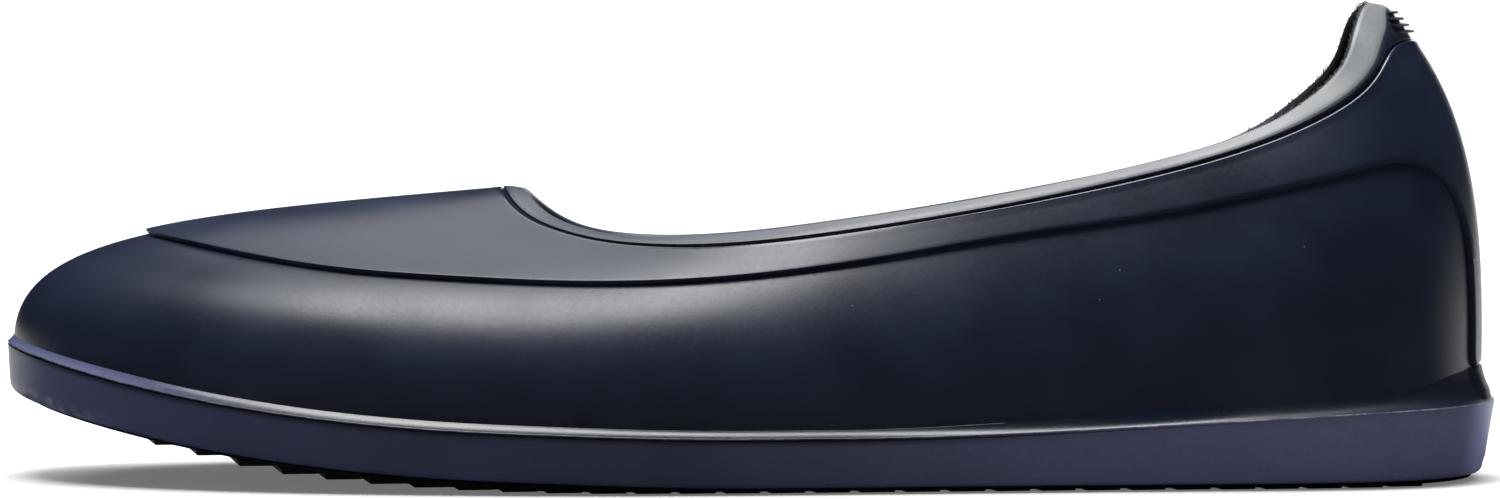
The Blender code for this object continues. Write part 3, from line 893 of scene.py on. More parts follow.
@dataclass
class TopPanel:
    """The raised panel over the instep and along the collar, with its strip down the heel."""

    last: Last
    gap: float = 0.0003
    proud: float = 0.0012
    strip_half: float = 0.0139
    strip_shoulder: float = 0.50
    strip_corner: float = 0.0245
    strip_foot: float = 0.0001
    foot_corner: float = 0.003
    edge_front: float = 0.00020
    edge_heel: float = 0.00095
    undercut: float = 0.0004
    bead: float = 0.00015
    lip_round: float = 0.0009
    lip_turn: float = math.radians(58.0)
    front_columns: int = 230
    corner_columns: int = 26
    strip_columns: int = 40
    foot_columns: int = 14
    finish: Rubber = Rubber("rubber_navy_panel", polish=0.20)

    def side_edge(self, side: Side) -> tuple[Array, Array, Array]:
        """Lower edge on one side, from the toe to the middle of the heel.

        Args:
            side: which side of the shoe.

        Returns:
            Places and heights of the edge, and the places above them at the collar.
        """
        last = self.last
        turn = np.linspace(0.0, 0.5 * math.pi, self.corner_columns, endpoint=False)
        reach = self.strip_half + self.strip_corner
        start = last.heel - reach
        front = np.linspace(0.0, start, self.front_columns, endpoint=False)
        corner = start + self.strip_corner * np.sin(turn)
        rounded = self.strip_shoulder + (1.0 - self.strip_shoulder) * np.cos(turn)
        inner = last.heel - self.strip_half
        mirror = (lambda place: place) if side is Side.LATERAL else (lambda place: 2.0 * last.heel - place)
        if side is Side.MEDIAL:
            front = 2.0 * last.heel - np.linspace(last.around, last.heel + reach, self.front_columns,
                                                  endpoint=False)
        panel = lambda place: last.value(mirror(place), Row.PANEL)
        share = last.value(mirror(np.array([inner])), Row.SHARE)
        rise = last.value(mirror(np.array([inner])), Row.RIM_HEIGHT) * last.heel_height - last.band_top(share)
        lift = last.value(mirror(np.array([inner])), Row.LIFT)
        foot = float(((last.foot_height(share) + self.strip_foot) / (3.0 * lift * rise))[0])
        shoulder = float(panel(np.array([inner]))[0]) * self.strip_shoulder
        climb_length = float(rise[0]) * 1.05
        small = self.foot_corner / climb_length
        down = np.linspace(shoulder, foot + small, self.strip_columns, endpoint=False)
        bend = np.linspace(0.0, 0.5 * math.pi, 8, endpoint=False)
        bend_place = inner + self.foot_corner * (1.0 - np.cos(bend))
        bend_height = foot + small * (1.0 - np.sin(bend))
        across = np.linspace(inner + self.foot_corner, last.heel, self.foot_columns)
        places = np.concatenate((front, corner, np.full(down.shape, inner), bend_place, across))
        heights = np.concatenate((panel(front), panel(corner) * rounded, down, bend_height,
                                  np.full(across.shape, foot)))
        above = places.copy()
        tail = len(down) + len(bend) + len(across)
        above[-tail:] = np.linspace(inner, last.heel, tail)
        return mirror(places), heights, mirror(above)

    def loop(self) -> tuple[Array, Array, Array]:
        """The lower edge round the whole shoe, as places, heights and places above.

        Returns:
            Places, heights, and the places on the panel's upper edge.
        """
        lateral = self.side_edge(Side.LATERAL)
        medial = self.side_edge(Side.MEDIAL)
        return tuple(np.concatenate((a, b[::-1][1:-1])) for a, b in zip(lateral, medial))

    def inward(self, place: Array, height: Array) -> tuple[Array, Array]:
        """One metre's step into the panel, square to its lower edge, in place and height.

        Args:
            place: places along the outline loop, in metres.
            height: heights of 0 to 1 on the climb.

        Returns:
            The step's share along the loop and up the climb.
        """
        last = self.last
        step = 1e-4
        wide = np.linalg.norm(last.surface(place + step, height) - last.surface(place - step, height), axis=1)
        tall = np.linalg.norm(last.surface(place, height + step) - last.surface(place, height - step), axis=1)
        wide, tall = wide / (2.0 * step), tall / (2.0 * step)
        ahead = np.mod(np.roll(place, -1) - place + 0.5 * last.around, last.around) - 0.5 * last.around
        behind = np.mod(place - np.roll(place, 1) + 0.5 * last.around, last.around) - 0.5 * last.around
        along = (ahead + behind) * wide
        rise = (np.roll(height, -1) - np.roll(height, 1)) * tall
        size = np.hypot(along, rise)
        return -rise / size / wide, along / size / tall

    def build(self) -> None:
        """Make the panel and hand it over."""
        last = self.last
        place, height, above = self.loop()
        step_place, step_height = self.inward(place, height)
        face = self.proud
        share = last.value(place, Row.SHARE)
        rear = ramp(share, 0.62, 0.90)
        r = self.edge_front + (self.edge_heel - self.edge_front) * rear
        under = self.undercut * (1.0 - rear)
        lower = [(under, np.full(place.shape, -0.0003)), (under, 0.1 * face + 0.0 * r)]
        for angle in np.linspace(0.0, 0.5 * math.pi, 6):
            lower.append((r * (1.0 - math.cos(angle)), face - r * (1.0 - math.sin(angle))))
        lower.append((r + 0.0006, face + 0.0 * r))
        width = last.binding(above) + self.gap
        back = ramp(last.value(above, Row.SHARE), 0.64, 0.80)
        bead = self.bead * (0.15 + 0.85 * back)
        lip = self.lip_round * (0.3 + 0.7 * back)
        top = [(0.0022, face + 0.0 * bead), (0.0016, face + 0.35 * bead), (0.0011, face + 0.8 * bead)]
        for angle in np.linspace(0.0, self.lip_turn, 7):
            top.append((0.00004 + lip * (math.sin(self.lip_turn) - math.sin(angle)),
                        face + bead - lip * (1.0 - math.cos(angle))))
        top += [(0.0, top[-1][1] - 0.0003), (0.0, np.full(place.shape, -0.0003))]
        rows = []
        for inset, offset in lower:
            rows.append((place + step_place * inset, height + step_height * inset, offset))
        near_place, near_height, _ = rows[-1]
        high = last.below_rim(above, width + top[0][0])
        for share in np.linspace(0.0, 1.0, 30, endpoint=False)[1:]:
            rows.append((near_place + self.short_way(above - near_place) * share,
                         near_height + (high - near_height) * share, face))
        for inset, offset in top:
            rows.append((above, last.below_rim(above, width + inset), offset))
        profile = [last.skin(row[0], row[1], row[2]) for row in rows]
        inner = [rows[-1], rows[len(rows) // 2], rows[0]]
        profile += [last.skin(row[0], row[1], -0.0006) for row in inner]
        panel = ring("top_panel_skin", profile, self.finish.material(), last)
        polish = np.zeros((len(profile), len(place)))
        polish[len(rows) - 9:len(rows) - 2] = 1.0
        add_values(panel, "polish", polish.ravel())
        hand_over(panel, "rubber_navy_panel", "top_panel")

    def short_way(self, step: Array) -> Array:
        """A step along the loop, taken the short way round."""
        around = self.last.around
        return np.mod(step + 0.5 * around, around) - 0.5 * around


@dataclass
class CollarBinding:
    """The rolled rim of the collar, with its ribbed grip tab at the heel."""

    last: Last
    proud: float = 0.0013
    depth: float = 0.0031
    face_share: float = 0.70
    face_widest: float = 0.0038
    face_loss: float = 0.0018
    fall_side: float = 0.0009
    fall_tab: float = 0.0024
    raise_side: float = 0.0003
    raise_flank: float = 0.0020
    tab_loss: float = 0.0004
    corner: float = 0.0010
    side_columns: int = 300
    rib_count: int = 4
    rib_level: float = 0.0968
    rib_pitch: float = 0.0013
    rib_proud: float = 0.0012
    rib_thick: float = 0.0005
    rib_deep: float = 0.0022
    rib_half_length: float = 0.0064
    lining_thick: float = 0.0003
    # Its pale film is a painted highlight on the rim's slanting top face.
    finish: Rubber = Rubber("rubber_binding", roughness=0.42, specular=0.45, bloom_and_highlight=0.26)
    # A near-black knit whose colour is darkened further than the lining's: painted shade inside the collar.
    cloth: Cloth = Cloth("collar_knit", colour=(0.0022, 0.0022, 0.0025), sheen=0.0)

    def slant(self, place: Array) -> Array:
        """Distance below the rim at which the dark outer face turns into the slanting top face.

        Args:
            place: places along the outline loop, in metres.

        Returns:
            Distances below the rim, in metres.
        """
        share = self.last.value(place, Row.BINDING)
        widest = np.minimum(self.last.binding(place) * self.face_share, self.face_widest)
        return widest - self.face_loss * ramp(share, 0.70, 1.0)

    def crest(self, place: Array) -> tuple[Array, Array]:
        """Distance below the rim and offset out of the wall of the rim's inner edge.

        Args:
            place: places along the outline loop, in metres.

        Returns:
            Distances below the rim and offsets out of the wall.
        """
        share = self.last.value(place, Row.BINDING)
        along = self.last.value(place, Row.SHARE)
        above = self.raise_side + (self.raise_flank - self.raise_side) * ramp(along, 0.905, 0.990)
        above = above - self.tab_loss * ramp(share, 0.80, 1.0)
        fall = self.fall_side + (self.fall_tab - self.fall_side) * ramp(along, 0.930, 0.992)
        return -above, self.proud - fall

    def build_roll(self) -> bpy.types.Object:
        """The rim: a dark outer face, a wide slanting top face with a painted highlight, and the inner side.

        Returns:
            The finished object.
        """
        last = self.last
        place = last.loop(self.side_columns)
        width = last.binding(place)
        slant = self.slant(place)
        edge, end = self.crest(place)
        rows = [(width + 0.0001, -0.0003), (width + 0.0001, self.proud - 0.0007)]
        rows += [(width - 0.0002, self.proud - 0.0004), (0.55 * width + 0.45 * slant, self.proud - 0.0001)]
        size = np.hypot(slant - edge, self.proud - end)
        part = self.corner / size
        after_distance = slant + (edge - slant) * part
        after_offset = self.proud + (end - self.proud) * part
        for step in np.linspace(0.0, 1.0, 6):
            a, b, c = (1.0 - step) ** 2, 2.0 * step * (1.0 - step), step ** 2
            rows.append((a * (slant + self.corner) + b * slant + c * after_distance,
                         (a + b) * self.proud + c * after_offset))
        painted_highlight_from = len(rows) - 3
        for step in np.linspace(0.0, 0.93, 7)[1:]:
            rows.append((after_distance + (edge - after_distance) * step,
                         after_offset + (end - after_offset) * step))
        painted_highlight_to = len(rows)
        rows += self.inner_side(place, 0.0)
        rows += [(0.0019, -self.depth), (width * 0.7, -self.depth + 0.0002), (width, -0.0018)]
        profile = [self.at(place, distance, offset) for distance, offset in rows]
        roll = ring("collar_roll", profile, self.finish.material(), last)
        # Painted highlight: a pale film on the slanting top face, strongest towards the heel's tab.
        bloom_and_highlight = np.zeros((len(rows), len(place)))
        bloom_and_highlight[painted_highlight_from:painted_highlight_to] = 0.25 + 0.75 * ramp(last.value(place, Row.SHARE), 0.80, 0.97)
        add_values(roll, "bloom_and_highlight", bloom_and_highlight.ravel())
        return roll

    def inner_side(self, place: Array, more: float) -> list[tuple[Array, Array]]:
        """Rows of the rounded inner side, moved further in by a distance.

        Args:
            place: places along the outline loop, in metres.
            more: how much further in the rows lie, in metres.

        Returns:
            Distance below the rim and offset of each row.
        """
        edge, end = self.crest(place)
        rows = []
        for angle in np.linspace(0.0, 0.5 * math.pi, 7)[1:]:
            rows.append((edge + 0.0015 * (1.0 - math.cos(angle)) - more * math.cos(angle),
                         end - (self.depth + end) * math.sin(angle) - more * math.sin(angle)))
        return rows

    def build_lining(self) -> bpy.types.Object:
        """The knit that is turned up over the rim's inner side.

        Returns:
            The finished object.
        """
        place = self.last.loop(self.side_columns)
        width = self.last.binding(place)
        near = self.inner_side(place, -0.0001)[1:] + [(width, -self.depth + 0.0001)]
        far = self.inner_side(place, self.lining_thick)[1:] + [(width, -self.depth - self.lining_thick)]
        rows = near + far[::-1]
        profile = [self.at(place, distance, offset) for distance, offset in rows]
        lining = ring("collar_lining", profile, self.cloth.material(), self.last)
        along = np.repeat(np.linspace(0.0, 0.02, len(rows)), len(place))
        add_map(lining, np.tile(place, len(rows)), along)
        return lining

    def at(self, place: Array, distance: Array | float, offset: Array | float) -> Array:
        """Points at a distance below the rim, or above it if negative, and an offset out of the wall.

        Args:
            place: places along the outline loop, in metres.
            distance: distances below the rim, in metres.
            offset: offsets out of the wall, in metres.

        Returns:
            One point for each place.
        """
        last = self.last
        distance = np.broadcast_to(distance, place.shape)
        height = last.below_rim(place, np.maximum(distance, 0.0))
        up = last.directions(place, height)[0]
        return last.skin(place, height, offset) + up * np.maximum(-distance, 0.0)[:, None]

    def rib_guide(self, level: float) -> Array:
        """Middle line of one level rib, where its level crosses the outer face.

        Args:
            level: the rib's level over the floor.

        Returns:
            The line's points.
        """
        last = self.last
        places = last.heel + np.linspace(-self.rib_half_length, self.rib_half_length, 61)
        steps = np.linspace(0.0, 0.011, 45)
        heights = np.array([self.at(places, step, self.proud)[:, 2] for step in steps])
        distance = np.array([np.interp(-level, -heights[:, i], steps) for i in range(len(places))])
        fits = (distance > self.slant(places) + 0.0004) & (distance < last.binding(places) + 0.0002)
        places, distance = places[fits], distance[fits]
        height = last.below_rim(places, distance)
        out = last.directions(places, height)[1]
        out[:, 2] = 0.0
        out /= np.linalg.norm(out, axis=1)[:, None]
        sunk = out * (self.rib_proud - 0.5 * self.rib_deep)
        return last.in_frame(last.skin(places, height, self.proud) + sunk)

    def build_ribs(self) -> bpy.types.Object:
        """The level ribs across the back of the tab, swept along guide lines.

        Returns:
            The finished object.
        """
        levels = [self.rib_level - number * self.rib_pitch for number in range(self.rib_count)]
        guides = [self.rib_guide(level) for level in levels]
        return swept("grip_ribs", guides, self.finish.material(), self.rib_deep, self.rib_thick,
                     corner=0.4 * self.rib_thick, taper=0.45)

    def build(self) -> None:
        """Make the rim, its ribs and its knit, and hand them over."""
        hand_over(self.build_roll(), "rubber_binding", "collar_binding")
        hand_over(self.build_ribs(), "rubber_binding", "collar_binding")
        hand_over(self.build_lining(), "cloth_footbed")


@dataclass
class LiningFray:
    """Short loose threads of the lining's cut edge, along the rim's inner edge near the heel."""

    last: Last
    binding: CollarBinding
    first_share: float = 0.90
    back_set: float = 0.0003
    count: int = 210
    bend_share: float = 0.6
    lean: float = 1.3
    spin: float = 3.1
    shortest: float = 0.35
    longest: float = 1.2
    length: float = 0.00045
    curl: float = 0.0004
    thick: float = 0.00008
    seed: int = 7
    finish: Fibre = Fibre()

    def guide(self, side: Side) -> Array:
        """Points along the rim's inner edge on one side, up to the middle of the heel.

        Args:
            side: the side of the shoe.

        Returns:
            The line's points.
        """
        last = self.last
        start = float(last.place_of_share(np.array([self.first_share]), side)[0])
        place = np.linspace(start, last.heel, 90)
        edge, end = self.binding.crest(place)
        return last.in_frame(self.binding.at(place, edge + 0.0001, end - self.back_set))

    def build(self) -> None:
        """Grow the threads with a Geometry Nodes tree and hand them over."""
        material = self.finish.material()
        points, edges = joined([self.guide(side) for side in Side])
        tree = bpy.data.node_groups.new("lining_fray_tree", "GeometryNodeTree")
        nodes = Nodes(tree)
        sizes = inputs_of(tree, (("Length", self.length), ("Curl", self.curl), ("Thick", self.thick)),
                          (("Count", self.count), ("Seed", self.seed)))
        entry = nodes.add("NodeGroupInput").outputs
        path = nodes.add("GeometryNodeMeshToCurve", {"Mesh": entry["Geometry"]}).outputs["Curve"]
        roots = nodes.add("GeometryNodeCurveToPoints", {"Curve": path, "Count": entry["Count"]}, mode="COUNT")
        bend = nodes.math("MULTIPLY", entry["Length"], self.bend_share)
        middle = nodes.add("ShaderNodeCombineXYZ", {"X": entry["Curl"], "Z": bend})
        tip = nodes.add("ShaderNodeCombineXYZ", {"Y": entry["Curl"], "Z": entry["Length"]})
        thread = nodes.add("GeometryNodeCurveQuadraticBezier", {
            "Resolution": 5, "Start": (0.0, 0.0, 0.0), "Middle": middle.outputs[0], "End": tip.outputs[0]})
        section = nodes.add("GeometryNodeCurvePrimitiveCircle", {"Resolution": 4, "Radius": entry["Thick"]})
        fibre = nodes.add("GeometryNodeCurveToMesh", {"Curve": thread.outputs[0], "Fill Caps": True,
                                                      "Profile Curve": section.outputs["Curve"]})
        turned = {0: (-self.lean, -self.lean, -self.spin), 1: (self.lean, self.lean, self.spin),
                  "Seed": entry["Seed"]}
        turn = nodes.add("FunctionNodeRandomValue", turned, data_type="FLOAT_VECTOR")
        scaled = {2: self.shortest, 3: self.longest, "Seed": entry["Seed"]}
        scale = nodes.add("FunctionNodeRandomValue", scaled, data_type="FLOAT")
        placed = nodes.add("GeometryNodeInstanceOnPoints", {
            "Points": roots.outputs["Points"], "Instance": fibre.outputs["Mesh"], "Rotation": turn.outputs[0],
            "Scale": scale.outputs[1]})
        plain = nodes.add("GeometryNodeRealizeInstances", {"Geometry": placed.outputs[0]})
        dressed = nodes.add("GeometryNodeSetMaterial", {"Geometry": plain.outputs[0], "Material": material})
        nodes.add("NodeGroupOutput", {"Geometry": dressed.outputs[0]})
        hand_over(grown("lining_fray", points, edges, tree, sizes, material), "cloth_footbed")


def inputs_of(tree: bpy.types.NodeTree, floats: Sequence[tuple[str, float]],
              counts: Sequence[tuple[str, int]] = ()) -> dict[str, tuple[object, object]]:
    """Give a Geometry Nodes tree its sockets.

    Args:
        tree: the tree.
        floats: names and values of its sizes.
        counts: names and values of its whole numbers.

    Returns:
        Each named input's socket and value.
    """
    tree.interface.new_socket("Geometry", in_out="INPUT", socket_type="NodeSocketGeometry")
    sizes = {}
    for kind, values in (("NodeSocketFloat", floats), ("NodeSocketInt", counts)):
        for label, value in values:
            sizes[label] = (tree.interface.new_socket(label, in_out="INPUT", socket_type=kind), value)
    tree.interface.new_socket("Geometry", in_out="OUTPUT", socket_type="NodeSocketGeometry")
    return sizes


def joined(guides: Sequence[Array]) -> tuple[Array, list[tuple[int, int]]]:
    """Points of all the guide lines, and the pairs of points that are joined.

    Args:
        guides: the lines, each with its points in order.

    Returns:
        All the points, and the pairs of their numbers that are joined.
    """
    lines = Weave()
    edges = []
    for guide in guides:
        numbers = lines.row(guide)
        edges += list(zip(numbers, numbers[1:]))
    return np.vstack(lines.points), edges


def swept(name: str, guides: Sequence[Array], material: bpy.types.Material, width: float, depth: float,
          corner: float, taper: float = 0.0, bend: float = 0.0) -> bpy.types.Object:
    """Bars with rounded edges along guide lines, made by a Geometry Nodes tree.

    Args:
        name: the object's name.
        guides: points of each line.
        material: the bars' material.
        width: level width of the section.
        depth: upright depth of the section.
        corner: radius of the section's corners.
        taper: share of the section that is lost at the ends.
        bend: radius of the bends in the guide lines.

    Returns:
        A plain mesh object.
    """
    points, edges = joined(guides)
    tree = bpy.data.node_groups.new(name + "_tree", "GeometryNodeTree")
    nodes = Nodes(tree)
    sizes = inputs_of(tree, (("Width", width), ("Depth", depth), ("Corner", corner), ("Taper", taper),
                             ("Bend", bend)))
    entry = nodes.add("NodeGroupInput").outputs
    path = nodes.add("GeometryNodeMeshToCurve", {"Mesh": entry["Geometry"]}).outputs["Curve"]
    if bend > 0.0:
        bent = {"Curve": path, "Radius": entry["Bend"], "Count": 5, "Limit Radius": True}
        path = nodes.add("GeometryNodeFilletCurve", bent, mode="POLY").outputs["Curve"]
    upright = nodes.add("GeometryNodeSetCurveNormal", {"Curve": path}, mode="Z_UP")
    along = nodes.add("GeometryNodeSplineParameter").outputs["Factor"]
    off_middle = nodes.math("ABSOLUTE", nodes.math("SUBTRACT", nodes.math("MULTIPLY", along, 2.0), 1.0))
    loss = nodes.math("MULTIPLY", nodes.math("POWER", off_middle, 4.0), entry["Taper"])
    radius = nodes.math("SUBTRACT", 1.0, loss)
    sides = {"Width": entry["Width"], "Height": entry["Depth"]}
    box = nodes.add("GeometryNodeCurvePrimitiveQuadrilateral", sides).outputs["Curve"]
    soft = {"Curve": box, "Radius": entry["Corner"], "Count": 3, "Limit Radius": True}
    outline = nodes.add("GeometryNodeFilletCurve", soft, mode="POLY").outputs["Curve"]
    bars = nodes.add("GeometryNodeCurveToMesh", {"Curve": upright.outputs["Curve"], "Profile Curve": outline,
                                                 "Fill Caps": True, "Scale": radius})
    plain = nodes.add("GeometryNodeRealizeInstances", {"Geometry": bars.outputs["Mesh"]})
    dressed = nodes.add("GeometryNodeSetMaterial", {"Geometry": plain.outputs[0], "Material": material})
    nodes.add("NodeGroupOutput", {"Geometry": dressed.outputs[0]})
    return grown(name, points, edges, tree, sizes, material)


def grown(name: str, points: Array, edges: Sequence[tuple[int, int]], tree: bpy.types.NodeTree,
          sizes: Mapping[str, tuple[object, object]], material: bpy.types.Material) -> bpy.types.Object:
    """Run a Geometry Nodes tree on guide lines and keep its result as a plain mesh.

    Args:
        name: the object's name.
        points: the guide lines' points.
        edges: pairs of points that are joined.
        tree: the node tree.
        sizes: the tree's named inputs, each with its socket and value.
        material: the result's material.

    Returns:
        A plain mesh object.
    """
    guide_mesh = bpy.data.meshes.new(name + "_guides")
    guide_mesh.from_pydata(points.tolist(), list(edges), [])
    guide = bpy.data.objects.new(name + "_guides", guide_mesh)
    bpy.context.scene.collection.objects.link(guide)
    modifier = guide.modifiers.new("sweep", "NODES")
    modifier.node_group = tree
    for socket, value in sizes.values():
        modifier[socket.identifier] = value
    evaluated = guide.evaluated_get(bpy.context.evaluated_depsgraph_get())
    mesh = bpy.data.meshes.new_from_object(evaluated)
    guide.modifiers.remove(modifier)
    bpy.data.objects.remove(guide)
    mesh.name = name
    mesh.materials.clear()
    mesh.materials.append(material)
    mesh.shade_smooth()
    mesh.set_sharp_from_angle(angle=math.radians(40.0))
    item = bpy.data.objects.new(name, mesh)
    bpy.context.scene.collection.objects.link(item)
    return item


@dataclass
class Sidewall:
    """The band round the sole, with its fine groove and the hollow ledge above it."""

    last: Last
    wall: float = 0.0022
    shelf_width: float = 0.0020
    corner: float = 0.0018
    flange_clear: float = 0.0045
    taper_toe: float = 0.0005
    taper_middle: float = 0.0010
    taper_heel: float = 0.0025
    groove_drop: float = 0.00050
    groove_depth: float = 0.00030
    groove_half: float = 0.00022
    side_columns: int = 300
    ledge_rows: int = 14
    hollow_side: float = 0.15
    hollow_heel: float = 0.45
    hollow_toe: float = 0.25
    film_side: float = 0.028
    film_toe: float = 0.035
    film_rear: float = 0.105
    # Painted highlight at the band's heel end and on the ledge near the toe.
    painted_end_highlight: float = 0.30
    painted_ledge_highlight: float = 0.20
    strip_half: float = 0.0139
    strip_proud: float = 0.0012
    # The pale bluish film colour is, at the heel's end and on the ledge near the toe, a painted highlight.
    finish: Rubber = Rubber("rubber_band", colour=(0.0075, 0.0100, 0.0320), roughness=0.42, specular=0.30,
                            wear=0.55, polish=0.20, bloom_and_highlight=1.0, film_and_highlight=(0.34, 0.36, 0.68),
                            second=(0.0058, 0.0086, 0.0185))

    def build(self) -> None:
        """Make the band and hand it over."""
        last = self.last
        place = last.loop(self.side_columns)
        share = last.value(place, Row.SHARE)
        step = last.ledge(share)
        foot = last.foot_height(share)
        at_toe = 1.0 - ramp(share, 0.0, 0.30)
        at_heel = ramp(share, 0.60, 1.0)
        taper = self.taper_middle + (self.taper_toe - self.taper_middle) * at_toe
        taper = taper + (self.taper_heel - self.taper_middle) * at_heel
        tall = last.band_top(share) - last.band_foot(share)
        inner = step + self.wall + self.shelf_width
        rows = [last.in_section(place, inner, last.band_under)]
        rows.append(last.in_section(place, self.flange_clear, last.band_under))
        wear = [np.zeros(place.shape)] * 2
        for angle in np.linspace(0.0, 0.5 * math.pi, 7):
            inset = taper + self.corner * (1.0 - math.sin(angle))
            rows.append(last.in_section(place, inset, last.band_foot, self.corner * (1.0 - math.cos(angle))))
            wear.append(0.5 * (1.0 - ramp(share, 0.0, 0.10)))
        for rise in np.linspace(0.15, 0.85, 6):
            up = self.corner + (tall - self.corner - self.groove_drop - self.groove_half) * rise
            rows.append(last.in_section(place, taper * (1.0 - up / tall), last.band_foot, up))
            wear.append(np.zeros(place.shape))
        depth = self.groove_depth * (1.0 - ramp(share, 0.70, 0.90))
        for offset, deep in ((-1.0, 0.0), (-0.4, 0.8), (0.0, 1.0), (0.4, 0.8), (1.0, 0.0)):
            above = -self.groove_drop + offset * self.groove_half
            inset = taper * self.groove_drop / tall + depth * deep
            rows.append(last.in_section(place, inset, last.band_top, above))
            wear.append(np.zeros(place.shape))
        rows.append(last.in_section(place, 0.0, last.band_top, -0.00018))
        wear.append(0.3 + 0.7 * ramp(share, 0.70, 0.86))
        rows.append(last.in_section(place, 0.00004, last.band_top, -0.00005))
        wear.append(0.3 + 0.7 * ramp(share, 0.70, 0.86))
        start = last.in_section(place, 0.00016, last.band_top, 0.00003)
        height = foot / (3.0 * last.value(place, Row.LIFT)
                         * (last.value(place, Row.RIM_HEIGHT) * last.heel_height - last.band_top(share)))
        end = last.skin(place, height, 0.00004)
        straight = (start + end) / 2.0
        hollow = self.hollow_side + (self.hollow_heel - self.hollow_side) * ramp(share, 0.65, 1.0)
        hollow = hollow + (self.hollow_toe - self.hollow_side) * (1.0 - ramp(share, 0.04, 0.14))
        strip = 1.0 - ramp(np.abs(place - last.heel), self.strip_half - 0.0010, self.strip_half)
        out = np.column_stack((last.outward(place), np.zeros(place.shape)))
        turn = straight + (last.surface(place, np.zeros(place.shape)) - straight) * hollow[:, None]
        smooth_from = len(rows)
        for part in np.linspace(0.0, 1.0, self.ledge_rows):
            raised = self.strip_proud * ramp(part, 0.0, 0.5) * strip
            rows.append((1.0 - part) ** 2 * start + 2.0 * part * (1.0 - part) * turn + part ** 2 * end
                        + out * raised[:, None])
            wear.append(np.zeros(place.shape))
        rows.append(last.skin(place, height * 1.01, -0.0002))
        rows.append(last.skin(place, height * 0.9, -0.0005))
        rows.append(last.in_section(place, step + 0.0003, last.shelf_level))
        rows.append(last.in_section(place, inner, last.shelf_level))
        wear += [np.zeros(place.shape)] * 4
        band = ring("sidewall_band", rows, self.finish.material(), last)
        band.data.set_sharp_from_angle(angle=math.radians(50.0))
        polish = np.zeros((len(rows), len(place)))
        polish[smooth_from:smooth_from + self.ledge_rows] = 1.0 - ramp(share, 0.78, 0.86)
        add_values(band, "wear", np.concatenate(wear))
        add_values(band, "polish", polish.ravel())
        blend = np.zeros((len(rows), len(place)))
        blend[smooth_from - 7:] = 1.0
        add_values(band, "blend", blend.ravel())
        # Pale film over the band, paler at the toe and towards the heel; at the heel's very end and on the
        # ledge near the toe it is a painted highlight.
        bloom_and_highlight = np.zeros((len(rows), len(place)))
        film_and_highlight = self.film_side + self.film_toe * (1.0 - ramp(share, 0.0, 0.18))
        film_and_highlight = film_and_highlight + self.film_rear * ramp(share, 0.40, 0.90)
        film_and_highlight = film_and_highlight + self.painted_end_highlight * ramp(share, 0.975, 0.998)
        bloom_and_highlight[2:smooth_from - 7] = film_and_highlight
        bloom_and_highlight[smooth_from - 7:smooth_from] = film_and_highlight * ramp(share, 0.55, 0.75)
        bloom_and_highlight[smooth_from:smooth_from + self.ledge_rows] = self.painted_ledge_highlight * (1.0 - ramp(share, 0.06, 0.20))
        add_values(band, "bloom_and_highlight", bloom_and_highlight.ravel())
        hand_over(band, "rubber_band", "sidewall")


@dataclass
class Outsole:
    """The tread plate under the band, with chevron lugs from the toe to the heel."""

    last: Last
    web: float = 0.0014
    web_toe: float = 0.0004
    gap: float = 0.0003
    flange_inset: float = 0.0048
    core_inset: float = 0.0045
    toe_lug: float = 0.00015
    lug_width: float = 0.0074
    lug_pitch: float = 0.0092
    lug_sweep: float = 0.0075
    lug_deep: float = 0.0011
    lug_margin: float = 0.030
    lug_round: float = 0.0003
    lug_bend: float = 0.004
    first_share: float = 0.075
    last_share: float = 0.950
    side_columns: int = 160
    across: int = 12
    finish: Rubber = Rubber("rubber_tread", colour=(0.0035, 0.0035, 0.0040), roughness=0.62, dust=0.3)

    def web_at(self, share: Array) -> Array:
        """Thickness of the plate under the band, which is thin at the toe."""
        return self.web_toe + (self.web - self.web_toe) * ramp(share, 0.12, 0.30)

    def build_plate(self) -> bpy.types.Object:
        """The flat plate that closes the sole.

        Returns:
            The finished object.
        """
        last = self.last
        place = last.loop(self.side_columns)
        share = last.value(place, Row.SHARE)
        core = last.ledge(share) + self.core_inset
        under = -self.gap - self.web_at(share)
        rows = [
            last.in_section(place, core, last.shelf_level),
            last.in_section(place, core, last.band_under, -self.gap),
            last.in_section(place, self.flange_inset, last.band_under, -self.gap),
            last.in_section(place, self.flange_inset, last.band_under, under + 0.0003),
            last.in_section(place, self.flange_inset + 0.0003, last.band_under, under),
        ]
        levels = (last.shelf_level, lambda s: last.band_under(s) - self.gap - self.web_at(s))
        return plate("tread_plate", rows, levels, self.across, self.finish.material(), last)

    def build_lugs(self) -> bpy.types.Object:
        """The chevrons, swept along guide lines that bend at the middle.

        Returns:
            The finished object.
        """
        last = self.last
        count = int((self.last_share - self.first_share) * last.length / self.lug_pitch)
        middles = [(number * self.lug_pitch + 0.5 * self.lug_width) / last.length for number in range(count)]
        guides = [self.guide(self.first_share + middle) for middle in middles]
        return swept("tread_lugs", guides, self.finish.material(), self.lug_width, self.lug_deep,
                     corner=self.lug_round, bend=self.lug_bend)

    def guide(self, middle: float) -> Array:
        """Middle line of one chevron.

        Args:
            middle: share of the length at its point.

        Returns:
            Points from the lateral end to the medial end.
        """
        last = self.last
        across = np.array((self.lug_margin, 0.26, 0.5, 0.74, 1.0 - self.lug_margin))
        share = middle + self.lug_sweep / last.length * np.abs(across - 0.5) / (0.5 - self.lug_margin)
        sides = []
        for side in Side:
            place = last.place_of_share(share, side)
            sides.append(last.outline(place) - last.outward(place) * self.flange_inset)
        level = sides[0] + (sides[1] - sides[0]) * across[:, None]
        at_toe = 1.0 - ramp(share, 0.11, 0.20)
        lifted = (last.tread_depth - self.gap - self.web_toe - self.toe_lug) * at_toe
        height = last.spring(level[:, 0] / last.length) + lifted + 0.5 * self.lug_deep
        return last.in_frame(np.column_stack((level, height)))

    def build(self) -> None:
        """Make the plate and its lugs, and hand them over."""
        hand_over(self.build_plate(), "rubber_tread", "outsole")
        hand_over(self.build_lugs(), "rubber_tread", "outsole")


